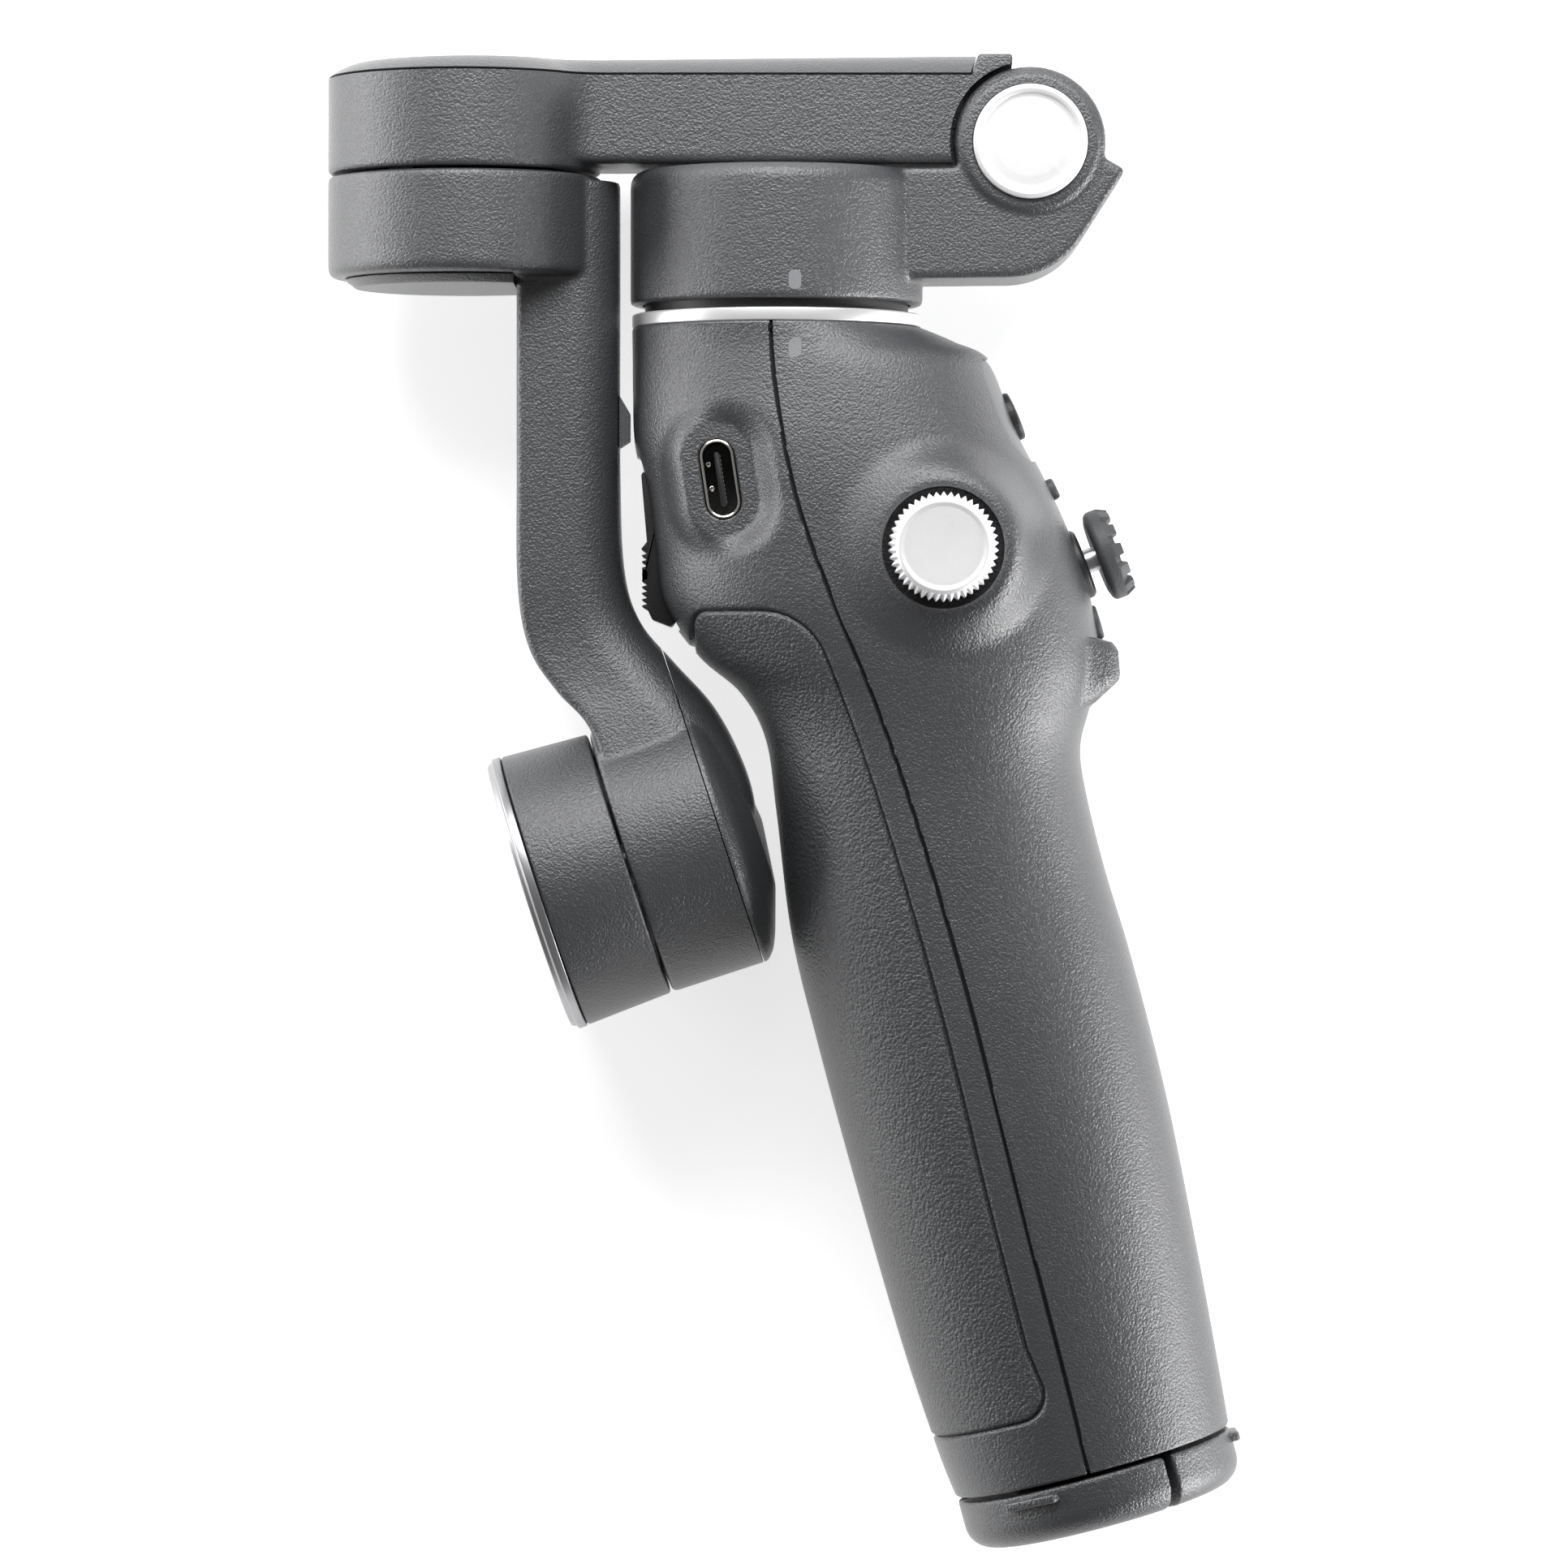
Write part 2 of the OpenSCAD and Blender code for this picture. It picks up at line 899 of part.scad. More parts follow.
module tilt_arm() {
    can = 11.6;
    color(slate)
        difference() {
            union() {
                loft(smooth(tilt_arm_rows, 2), 24);
                at(roll_x, 0)
                    bar_y(63, 75.1, roll_r);
                at_tilt()
                    along_x()
                        translate([0, 0, 0.3])
                            cylinder(h = can - 0.3, r = tilt_r);
            }
            at(roll_x, 0)
                bar_y(64.6, 80, 14.6);
            at_tilt()
                along_x()
                    translate([0, 0, -1])
                        cylinder(h = can, r = 14.4);
            cover_room(can);
            difference() {
                translate([-30, 60, -30])
                    cube([20, 20, 60]);
                at(roll_x, 0)
                    bar_y(50, 90, 18.8);
            }
        }
}

module roll_rotor() {
    color(steel)
        at(roll_x, 64.7)
            rotate([-90, 0, 0])
                rotor(14.5, 11.2, 10.2, 1.4, 2.5, 12);
}

module roll_cap() {
    color(slate)
        difference() {
            at(roll_x, 0)
                bar_y(61.9, 62.9, 13.2, 14.6);
            translate([-32.3, 60, -20])
                cube([20, 5, 40]);
        }
}

module tilt_cover() {
    start = 11.7;
    color(slate_dark) {
        at_tilt()
            along_x()
                rotate_extrude()
                    polygon([[0, start], [tilt_r, start], [tilt_r - 0.9, 12.9], [13.6, 13.9], [8, 15.9],
                        [0, 16.8]]);
        intersection() {
            loft(smooth(tilt_arm_rows, 2), 24);
            cover_room(start);
        }
    }
}

module tilt_stator() {
    color(black)
        at_tilt()
            along_x()
                translate([0, 0, 10.5])
                    mirror([0, 0, 1])
                        stator(14.3, 10.4, 10.2, 2.5 + run_gap);
}

module arm_stop() {
    color(slate_dark)
        translate([0, 0, -3])
            linear_extrude(6)
                polygon([[-19.84, 48.9], [-18.6, 46.8], [-18.6, 43.5], [-19.84, 42.7]]);
}

// The magnets' places round the clamp's face
module magnets(r, h) {
    count = 6;
    for (k = [0:count - 1])
        rotate([0, 0, 360 * k / count])
            translate([8, 0, -10.9])
                cylinder(h = h, r = r);
}

module clamp_housing() {
    color(slate)
        at_tilt()
            along_x()
                difference() {
                    translate([0, 0, -10.9])
                        cylinder(h = 10.6, r1 = 17, r2 = tilt_r);
                    translate([0, 0, -7.9])
                        cylinder(h = 9, r = 14.4);
                    translate([0, 0, -0.2])
                        magnets(2.02, 1.8);
                }
}

module tilt_rotor() {
    color(steel)
        at_tilt()
            along_x()
                translate([0, 0, -7.8])
                    rotor(14.3, 11, 7.4, 1.4, 2.5, 14);
}

module clamp_ring() {
    color(silver)
        at_tilt()
            along_x()
                rotate_extrude()
                    polygon([[12.6, -11], [17.1, -11], [17.1, -12], [16.6, -12.8], [12.6, -12.8]]);
}

module clamp_pad() {
    color(black)
        at_tilt()
            along_x()
                translate([0, 0, -12.4])
                    cylinder(h = 1.4, r = 12.5);
}

module clamp_magnets() {
    color(steel)
        at_tilt()
            along_x()
                magnets(2, 1.6);
}

placed() front_shell();
placed() rear_shell();
placed() grip_pad();
placed() neck_ring();
placed() status_panel();
placed() usb_shell();
placed() usb_tongue();
placed() main_board();
placed() battery();
placed() rod_stage(0);  // rod_sleeve
placed() rod_stage(1);  // rod_stage_1
placed() rod_stage(2);  // rod_stage_2
placed() rod_stage(3);  // rod_stage_3
placed() rod_head();
placed() pan_stator();
placed() joystick_bezel();
placed() wheel_encoder();
placed() handle_mark();
placed() tripod_well();
placed() trigger_pin();
placed() mode_button();
placed() record_button();
placed() switch_button();
placed() joystick_ring();
placed() joystick_stem();
placed() joystick_cap();
placed() wheel_shaft();
placed() side_wheel();
placed() trigger();
placed() tripod_hub();
placed() tripod_spindle();
placed() tripod_leg(0);  // tripod_leg_1
placed() tripod_leg(1);  // tripod_leg_2
placed() tripod_leg(2);  // tripod_leg_3
placed() tripod_foot(0);  // tripod_foot_1
placed() tripod_foot(1);  // tripod_foot_2
placed() tripod_foot(2);  // tripod_foot_3
placed() pan_housing();
placed() pan_rotor();
placed() pan_arm();
placed() pan_mark();
placed() hinge_pin();
placed() hinge_cap(1);  // hinge_cap_near
placed() hinge_cap(-1);  // hinge_cap_far
placed() roll_arm();
placed() arm_cover();
placed() roll_stator();
placed() tilt_arm();
placed() roll_rotor();
placed() roll_cap();
placed() tilt_cover();
placed() tilt_stator();
placed() arm_stop();
placed() clamp_housing();
placed() tilt_rotor();
placed() clamp_ring();
placed() clamp_pad();
placed() clamp_magnets();
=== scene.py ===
import json
import math

import bmesh
import bpy
import numpy as np
from mathutils import Matrix, Vector


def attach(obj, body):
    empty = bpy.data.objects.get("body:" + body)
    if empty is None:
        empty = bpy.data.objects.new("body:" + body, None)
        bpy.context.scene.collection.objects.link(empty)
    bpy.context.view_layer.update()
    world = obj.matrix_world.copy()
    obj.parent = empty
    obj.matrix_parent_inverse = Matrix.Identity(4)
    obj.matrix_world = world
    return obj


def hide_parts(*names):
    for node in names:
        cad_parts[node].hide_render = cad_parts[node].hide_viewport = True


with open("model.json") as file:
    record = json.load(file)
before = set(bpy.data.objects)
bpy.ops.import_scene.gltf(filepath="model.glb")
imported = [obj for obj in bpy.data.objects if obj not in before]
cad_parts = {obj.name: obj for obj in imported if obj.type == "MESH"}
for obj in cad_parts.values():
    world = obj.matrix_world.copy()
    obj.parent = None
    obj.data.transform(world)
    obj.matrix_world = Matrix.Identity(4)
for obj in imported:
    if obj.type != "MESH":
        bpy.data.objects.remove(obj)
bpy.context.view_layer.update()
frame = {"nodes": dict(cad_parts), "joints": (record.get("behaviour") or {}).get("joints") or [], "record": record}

# Every shape below is drawn in millimetres, counted from the middle of the folded outline
# in the middle plane of the handle, and is moved to the row frame when it is finished.
MM = 0.001
JOINTS = {joint["name"]: joint for joint in frame["joints"]}
PAN_X = -0.9
PAN_Y = 70
DRAWING_ORIGIN = Vector(JOINTS["pan_turn"]["pos_m"]) - MM * Vector((PAN_X, PAN_Y, 0))
TO_FRAME = Matrix.Translation(DRAWING_ORIGIN) @ Matrix.Scale(MM, 4)


def drawn(point):
    """A point of the row frame, in the drawing's millimetres."""
    return (Vector(point) - DRAWING_ORIGIN) / MM


FOLD_AT = drawn(JOINTS["arm_fold"]["pos_m"])
ROLL_X = drawn(JOINTS["roll_turn"]["pos_m"]).x
TILT_AT = drawn(JOINTS["tilt_turn"]["pos_m"])
TILT_AXIS = Vector(JOINTS["tilt_turn"]["axis"]).normalized()
GRIP_AXIS = -Vector(JOINTS["tripod_slide"]["axis"]).normalized()
GRIP_LEAN = math.degrees(math.atan2(-GRIP_AXIS.x, GRIP_AXIS.y))
BASE_AT = Vector((37.25, -79.55, 0))
UP_Y = Vector((0, 1, 0))
UP_Z = Vector((0, 0, 1))
BEVELLED_TURN = math.radians(50)


# ---- mesh tools

def placed(name, data):
    """A new object in the scene that holds the data."""
    made = bpy.data.objects.new(name, data)
    bpy.context.collection.objects.link(made)
    return made


def mesh_object(name, points, faces):
    mesh = bpy.data.meshes.new(name)
    mesh.from_pydata([tuple(p) for p in points], [], faces)
    return placed(name, mesh)


def modify(obj, kind, **settings):
    """Adds one modifier and applies it."""
    modifier = obj.modifiers.new(kind, kind)
    for key, value in settings.items():
        setattr(modifier, key, value)
    graph = bpy.context.evaluated_depsgraph_get()
    mesh = bpy.data.meshes.new_from_object(obj.evaluated_get(graph))
    obj.modifiers.clear()
    old = obj.data
    obj.data = mesh
    bpy.data.meshes.remove(old)
    return obj


def edit(obj, change):
    """Runs a change on the object's bmesh and writes it back."""
    bm = bmesh.new()
    bm.from_mesh(obj.data)
    change(bm)
    bm.to_mesh(obj.data)
    bm.free()
    return obj


def weld(obj, distance=0.0005):
    def change(bm):
        bmesh.ops.remove_doubles(bm, verts=bm.verts, dist=distance)
        bmesh.ops.dissolve_degenerate(bm, edges=bm.edges, dist=distance / 5)
        bmesh.ops.recalc_face_normals(bm, faces=bm.faces)
    return edit(obj, change)


def together(name, objects):
    """Several objects as one mesh, which may overlap."""
    bm = bmesh.new()
    for obj in objects:
        bm.from_mesh(obj.data)
        bpy.data.objects.remove(obj)
    mesh = bpy.data.meshes.new(name)
    bm.to_mesh(mesh)
    bm.free()
    return placed(name, mesh)


def moulded(name, solids, voxel=0.3, smooth=8):
    """Overlapping closed solids melted into one skin with soft edges and fillets."""
    made = together(name, solids)
    modify(made, "REMESH", mode="VOXEL", voxel_size=voxel)
    return modify(made, "SMOOTH", factor=0.5, iterations=smooth)


def carve(obj, cutters, operation="DIFFERENCE"):
    for cutter in cutters:
        modify(obj, "BOOLEAN", object=cutter, operation=operation, solver="MANIFOLD")
        bpy.data.objects.remove(cutter)
    return obj


def turned(v, angle):
    c, s = math.cos(angle), math.sin(angle)
    return Vector((v.x * c - v.y * s, v.x * s + v.y * c))


def rounded(corners, steps=6):
    """A closed outline from corners of (x, y, radius), each corner an arc."""
    outline = []
    count = len(corners)
    for i, (x, y, radius) in enumerate(corners):
        here = Vector((x, y))
        back = Vector(corners[i - 1][:2]) - here
        ahead = Vector(corners[(i + 1) % count][:2]) - here
        if radius <= 0:
            outline.append(here)
            continue
        half = back.angle(ahead) / 2
        reach = min(radius / math.tan(half), 0.49 * back.length, 0.49 * ahead.length)
        radius = reach * math.tan(half)
        back.normalize()
        ahead.normalize()
        centre = here + (back + ahead).normalized() * radius / math.sin(half)
        spoke = here + back * reach - centre
        side = 1 if back.x * ahead.y - back.y * ahead.x < 0 else -1
        sweep = side * (math.pi - 2 * half)
        outline += [centre + turned(spoke, sweep * k / steps) for k in range(steps + 1)]
    return outline


def pill(length, width, radius, steps=8):
    """A rounded rectangle about the origin."""
    x, y = length / 2, width / 2
    return rounded([(-x, -y, radius), (x, -y, radius), (x, y, radius), (-x, y, radius)], steps)


def drum(radius, low, high, low_edge, high_edge, steps):
    """Half the outline of a disc with rounded rims, for the lathe."""
    return rounded([(0, low, 0), (radius, low, low_edge), (radius, high, high_edge), (0, high, 0)], steps)


def arc(centre, radius, start, end, steps):
    """Points along an arc, with the angles in degrees."""
    angles = [math.radians(start + (end - start) * k / steps) for k in range(steps + 1)]
    return [Vector((centre[0] + radius * math.cos(a), centre[1] + radius * math.sin(a)))
            for a in angles]


def heading(degrees):
    """The direction in the plan at an angle from X."""
    angle = math.radians(degrees)
    return Vector((math.cos(angle), math.sin(angle), 0))


def basis(origin, axis, up=None):
    """A matrix whose Z runs along the axis and whose X is as near as can be to up."""
    axis = Vector(axis).normalized()
    up = Vector(up) if up is not None else (UP_Z if abs(axis.z) < 0.9 else Vector((1, 0, 0)))
    x = (up - axis * up.dot(axis)).normalized()
    y = axis.cross(x)
    turn = Matrix((x, y, axis)).transposed().to_4x4()
    return Matrix.Translation(Vector(origin)) @ turn


def lathe(name, outline, origin, axis, steps=144, ripple=None):
    """A closed outline of (radius, height) turned about an axis. ripple(radius, height, angle)
    gives a new radius and height."""
    place = basis(origin, axis)
    points = []
    for k in range(steps):
        angle = math.tau * k / steps
        for r, h in outline:
            if ripple:
                r, h = ripple(r, h, angle)
            points.append(place @ Vector((r * math.cos(angle), r * math.sin(angle), h)))
    n = len(outline)
    faces = [(k * n + i, k * n + (i + 1) % n, (k + 1) % steps * n + (i + 1) % n,
              (k + 1) % steps * n + i)
             for k in range(steps) for i in range(n)]
    return weld(mesh_object(name, points, faces))


def rod(name, radius, low, high, origin, axis):
    """A plain round bar between two heights along an axis."""
    return lathe(name, [(0, low), (radius, low), (radius, high), (0, high)], origin, axis)


def prism(name, outline, low, high, place=Matrix.Identity(4), edge=0, segments=4):
    """An outline given a thickness, with its rims rounded by the edge width."""
    n = len(outline)
    points = [place @ Vector((p[0], p[1], h)) for h in (low, high) for p in outline]
    faces = [tuple(range(n - 1, -1, -1)), tuple(range(n, 2 * n))]
    faces += [(i, (i + 1) % n, n + (i + 1) % n, n + i) for i in range(n)]
    made = weld(mesh_object(name, points, faces))
    if edge:
        modify(made, "BEVEL", width=edge, segments=segments, limit_method="ANGLE",
               angle_limit=BEVELLED_TURN)
    return made


def block(name, low, high):
    corners = [(low[0], low[1]), (high[0], low[1]), (high[0], high[1]), (low[0], high[1])]
    return prism(name, corners, low[2], high[2])


def grid_faces(rows, columns, closed=True):
    last = columns if closed else columns - 1
    return [(r * columns + c, r * columns + (c + 1) % columns,
             (r + 1) * columns + (c + 1) % columns, (r + 1) * columns + c)
            for r in range(rows - 1) for c in range(last)]


def finish(obj, body, look, *nodes, slot=None, crease=35):
    """Moves a drawn piece to the row frame, gives it its look and makes it ride.
    The slot argument is not used."""
    slot = slot or look
    obj.data.transform(TO_FRAME)
    obj.data.materials.clear()
    obj.data.materials.append(LOOKS[look])
    obj.data.shade_smooth()
    obj.data.set_sharp_from_angle(angle=math.radians(crease))
    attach(obj, body)
    if nodes:
        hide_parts(*nodes)


# ---- lines cut into a skin

def catmull(rows, t):
    """The smooth curve through rows of numbers, at the positions t counted in rows."""
    rows = np.asarray(rows, float)
    last = len(rows) - 1
    t = np.asarray(t, float)
    i = np.clip(np.floor(t).astype(int), 0, last - 1)
    f = (t - i)[:, None]
    a, b = rows[np.maximum(i - 1, 0)], rows[i]
    c, d = rows[i + 1], rows[np.minimum(i + 2, last)]
    return 0.5 * (2 * b + (c - a) * f + (2 * a - 5 * b + 4 * c - d) * f * f
                  + (3 * b - a - 3 * c + d) * f ** 3)


def line_distance(points, line, closed):
    """How far each plan point is from a line, positive on the line's left."""
    line = np.array([(p[0], p[1]) for p in line], float)
    ends = np.roll(line, -1, axis=0) if closed else line[1:]
    starts = line if closed else line[:-1]
    best = np.full(len(points), 1e9)
    side = np.ones(len(points))
    for a, b in zip(starts, ends):
        along = b - a
        rel = points - a
        share = np.clip(rel @ along / max(along @ along, 1e-12), 0, 1)
        gap = np.hypot(*(rel - share[:, None] * along).T)
        cross = along[0] * rel[:, 1] - along[1] * rel[:, 0]
        nearer = gap < best - 1e-9
        side = np.where(nearer, np.where(cross >= 0, 1, -1), side)
        best = np.where(nearer, gap, best)
    if closed:
        x, y = points.T
        inside = np.zeros(len(points), bool)
        for (x0, y0), (x1, y1) in zip(starts, ends):
            straddles = (y0 > y) != (y1 > y)
            if y1 != y0:
                inside ^= straddles & (x < (x1 - x0) * (y - y0) / (y1 - y0) + x0)
        side = np.where(inside, 1, -1)
    return best * side


def coordinates(bm):
    return np.array([v.co for v in bm.verts], float).reshape(-1, 3)


def cut(bm, field, levels):
    """Splits the skin's faces along the lines where field(points) equals each level. Faces are
    taken in a fixed order, so that every run gives the same mesh."""
    for level in levels:
        bm.verts.index_update()
        value = field(coordinates(bm)) - level
        value[np.abs(value) < 1e-4] = 0
        on_line = {v for v in bm.verts if value[v.index] == 0}
        crossing = [e for e in bm.edges if value[e.verts[0].index] * value[e.verts[1].index] < 0]
        touched = {}
        for e in crossing:
            a, b = e.verts
            share = value[a.index] / (value[a.index] - value[b.index])
            touched.update(dict.fromkeys(e.link_faces))
            on_line.add(bmesh.utils.edge_split(e, a, share)[1])
        for face in touched:
            ends = [v for v in face.verts if v in on_line]
            if len(ends) == 2 and not any(e.other_vert(ends[0]) is ends[1] for e in ends[0].link_edges):
                bmesh.utils.face_split(face, ends[0], ends[1])


def smoothstep(x):
    x = np.clip(x, 0, 1)
    return x * x * (3 - 2 * x)


def rounded_box(u, v, width, height, radius):
    """Signed distance to a rounded rectangle, negative inside."""
    du = np.abs(u) - width / 2 + radius
    dv = np.abs(v) - height / 2 + radius
    outside = np.hypot(np.maximum(du, 0), np.maximum(dv, 0))
    return outside + np.minimum(np.maximum(du, dv), 0) - radius


def local(points, place, turn):
    """Plan points in a frame at a place, turned by degrees: along and across."""
    c, s = math.cos(math.radians(turn)), math.sin(math.radians(turn))
    dx, dy = points[:, 0] - place[0], points[:, 1] - place[1]
    return dx * c + dy * s, dy * c - dx * s


# ---- materials

def material(name, colour, roughness, metallic=0.0, specular=0.5):
    made = bpy.data.materials.new(name)
    made.use_nodes = True
    tree = made.node_tree
    shader = tree.nodes["Principled BSDF"]
    shader.inputs["Base Color"].default_value = (*colour, 1)
    shader.inputs["Roughness"].default_value = roughness
    shader.inputs["Metallic"].default_value = metallic
    shader.inputs["Specular IOR Level"].default_value = specular
    return made, tree, shader


def node(tree, kind, **settings):
    made = tree.nodes.new(kind)
    for key, value in settings.items():
        if key in made.inputs:
            made.inputs[key].default_value = value
        else:
            setattr(made, key, value)
    return made


def colour_ramp(tree, source, low, high):
    """A ramp between two (position, colour) ends."""
    ramp = node(tree, "ShaderNodeValToRGB")
    for end, (position, colour) in zip(ramp.color_ramp.elements, (low, high)):
        end.position = position
        end.color = (*colour, 1)
    tree.links.new(source, ramp.inputs["Fac"])
    return ramp.outputs["Color"]


def varied_colour(tree, colour, spread, coordinate, size):
    """The colour drifts a little, lighter and darker, over patches of a size in mm."""
    drift = node(tree, "ShaderNodeTexNoise", Scale=1 / (size * MM), Detail=3.0)
    tree.links.new(coordinate, drift.inputs["Vector"])
    return colour_ramp(tree, drift.outputs["Fac"], (0.3, [c * (1 - spread) for c in colour]),
                       (0.7, [c * (1 + spread) for c in colour]))


def worn_edges(tree, colour, lighter, amount):
    """Convex edges rub a little lighter."""
    geometry = node(tree, "ShaderNodeNewGeometry")
    wear = colour_ramp(tree, geometry.outputs["Pointiness"], (0.54, (0, 0, 0)), (0.66, (amount,) * 3))
    blend = node(tree, "ShaderNodeMix", data_type="RGBA")
    tree.links.new(wear, blend.inputs[0])
    tree.links.new(colour, blend.inputs[6])
    blend.inputs[7].default_value = (*lighter, 1)
    return blend.outputs[2]


def dress(tree, shader, colour, relief, depth, noise, low, high):
    """Gives a shader its colour, a relief of a depth in mm and a roughness that follows a noise
    from low to high."""
    tree.links.new(colour, shader.inputs["Base Color"])
    bump = node(tree, "ShaderNodeBump", Strength=1.0, Distance=depth * MM)
    tree.links.new(relief, bump.inputs["Height"])
    tree.links.new(bump.outputs["Normal"], shader.inputs["Normal"])
    gloss = node(tree, "ShaderNodeMapRange")
    gloss.inputs["To Min"].default_value = low
    gloss.inputs["To Max"].default_value = high
    tree.links.new(noise.outputs["Fac"], gloss.inputs["Value"])
    tree.links.new(gloss.outputs["Result"], shader.inputs["Roughness"])


def grained_plastic(name, colour, roughness, depth, grain=0.3, coarse=1.0, specular=0.5):
    """Moulded plastic with a leather grain. grain is the size of a pebble and depth the height
    of the grain, in mm. coarse is the pebbles' share beside the fine noise."""
    made, tree, shader = material(name, colour, roughness, specular=specular)
    coordinate = node(tree, "ShaderNodeTexCoord").outputs["Object"]
    warp = node(tree, "ShaderNodeTexNoise", Scale=0.8 / (grain * MM), Detail=1.0)
    tree.links.new(coordinate, warp.inputs["Vector"])
    bend = node(tree, "ShaderNodeMixRGB", blend_type="LINEAR_LIGHT")
    bend.inputs[0].default_value = 0.35 * grain * MM
    tree.links.new(coordinate, bend.inputs[1])
    tree.links.new(warp.outputs["Color"], bend.inputs[2])
    pebbles = node(tree, "ShaderNodeTexVoronoi", feature="SMOOTH_F1", Scale=1 / (grain * MM),
                   Smoothness=0.5)
    tree.links.new(bend.outputs[0], pebbles.inputs["Vector"])
    fine = node(tree, "ShaderNodeTexNoise", Scale=2.2 / (grain * MM), Detail=2.0, Roughness=0.6)
    tree.links.new(coordinate, fine.inputs["Vector"])
    height = node(tree, "ShaderNodeMath", operation="MULTIPLY_ADD")
    height.inputs[1].default_value = -coarse
    tree.links.new(pebbles.outputs["Distance"], height.inputs[0])
    tree.links.new(fine.outputs["Fac"], height.inputs[2])
    drift = varied_colour(tree, colour, 0.05, coordinate, 14)
    worn = worn_edges(tree, drift, [c * 1.45 for c in colour], 0.35)
    dress(tree, shader, worn, height.outputs[0], depth, fine, roughness - 0.06, roughness + 0.08)
    return made


def satin_metal(name, colour, roughness, speck, depth=0.004, brushed=1.0, metallic=1.0):
    """Metal with a fine blasted or turned surface. speck is the size of a mark and depth its
    height, in mm. brushed stretches the marks along Z."""
    made, tree, shader = material(name, colour, roughness, metallic=metallic)
    coordinate = node(tree, "ShaderNodeTexCoord").outputs["Object"]
    stretch = node(tree, "ShaderNodeMapping")
    stretch.inputs["Scale"].default_value = (1, 1, 1 / brushed)
    tree.links.new(coordinate, stretch.inputs["Vector"])
    marks = node(tree, "ShaderNodeTexNoise", Scale=1 / (speck * MM), Detail=3.0, Roughness=0.65)
    tree.links.new(stretch.outputs["Vector"], marks.inputs["Vector"])
    drift = varied_colour(tree, colour, 0.03, coordinate, 5)
    worn = worn_edges(tree, drift, [min(1, c * 1.1) for c in colour], 0.4)
    dress(tree, shader, worn, marks.outputs["Fac"], depth, marks, roughness - 0.05, roughness + 0.08)
    return made


LOOKS = {
    "shell": grained_plastic("shell_plastic", (0.047, 0.0485, 0.0525), 0.3, 0.065, grain=0.32, specular=1.0),
    "cover": grained_plastic("cover_plastic", (0.044, 0.0455, 0.049), 0.3, 0.055, specular=1.0),
    "grip": grained_plastic("grip_rubber", (0.043, 0.0445, 0.0475), 0.36, 0.09, grain=0.38, coarse=1.4,
                            specular=0.9),
    "bright_metal": satin_metal("bright_aluminium", (0.9, 0.9, 0.91), 0.34, speck=0.12, metallic=0.75),
    "hinge_metal": satin_metal("blasted_aluminium", (0.86, 0.86, 0.87), 0.42, speck=0.16, depth=0.016,
                               metallic=0.4),
    "ring_metal": satin_metal("turned_aluminium", (0.4, 0.4, 0.41), 0.36, speck=0.12),
    "steel": satin_metal("machined_steel", (0.58, 0.58, 0.6), 0.32, speck=0.2, brushed=6.0),
    "port_metal": satin_metal("port_steel", (0.8, 0.77, 0.72), 0.16, speck=0.1, depth=0.002),
    "black_plastic": grained_plastic("black_plastic", (0.012, 0.012, 0.013), 0.45, 0.015),
    "dark_plastic": grained_plastic("dark_plastic", (0.062, 0.064, 0.068), 0.52, 0.025, grain=0.32),
    "panel": grained_plastic("panel_plastic", (0.09, 0.092, 0.097), 0.3, 0.004),
    "mark": grained_plastic("printed_mark", (0.2, 0.204, 0.212), 0.5, 0.012),
    "board": grained_plastic("circuit_board", (0.02, 0.1, 0.05), 0.4, 0.02, grain=0.8),
    "cell": grained_plastic("battery_wrap", (0.06, 0.09, 0.25), 0.35, 0.01, grain=0.9),
}

for subpart in frame["record"]["subparts"]:
    cad_mesh = frame["nodes"][subpart["node"]].data
    cad_mesh.materials.clear()
    cad_mesh.materials.append(LOOKS[subpart["material_slot"]])


# ---- handle skin

NECK_Y = 57.1
NECK_R = 17.45
# Left edge x and y, right edge x and y, half thickness and squareness of each section
HANDLE_ROWS = [
    (-18.35, NECK_Y, 16.55, NECK_Y, NECK_R, 2),
    (-18.3, 53.6, 20.6, 55.4, 17.7, 2.1),
    (-18.25, 49, 25.1, 52.9, 18.3, 2.25),
    (-18, 43, 28.3, 45, 19.2, 2.35),
    (-16.6, 36.6, 32.1, 37.6, 19.75, 2.4),
    (-15.7, 30, 35.1, 30.6, 19.9, 2.45),
    (-14.6, 23.6, 37.3, 23.2, 19.85, 2.45),
    (-10.2, 17.4, 38.1, 16.4, 19.4, 2.4),
    (-5.2, 13, 36.9, 11.2, 18.9, 2.4),
    (-2.2, 7.4, 35.8, 6.6, 18.4, 2.4),
    (-0.9, -1.5, 36.4, 1.4, 18, 2.4),
    (0.9, -16, 38.7, -8, 17.9, 2.4),
    (4, -29, 42, -19, 18, 2.4),
    (8.6, -46, 46.3, -36, 18, 2.35),
    (14.1, -65, 50.2, -55.6, 17.6, 2.25),
    (18.6, -78.5, 52.7, -69.3, 17.2, 2.15),
    (20.8, -84, 53.7, -75.1, 17, 2.1)]
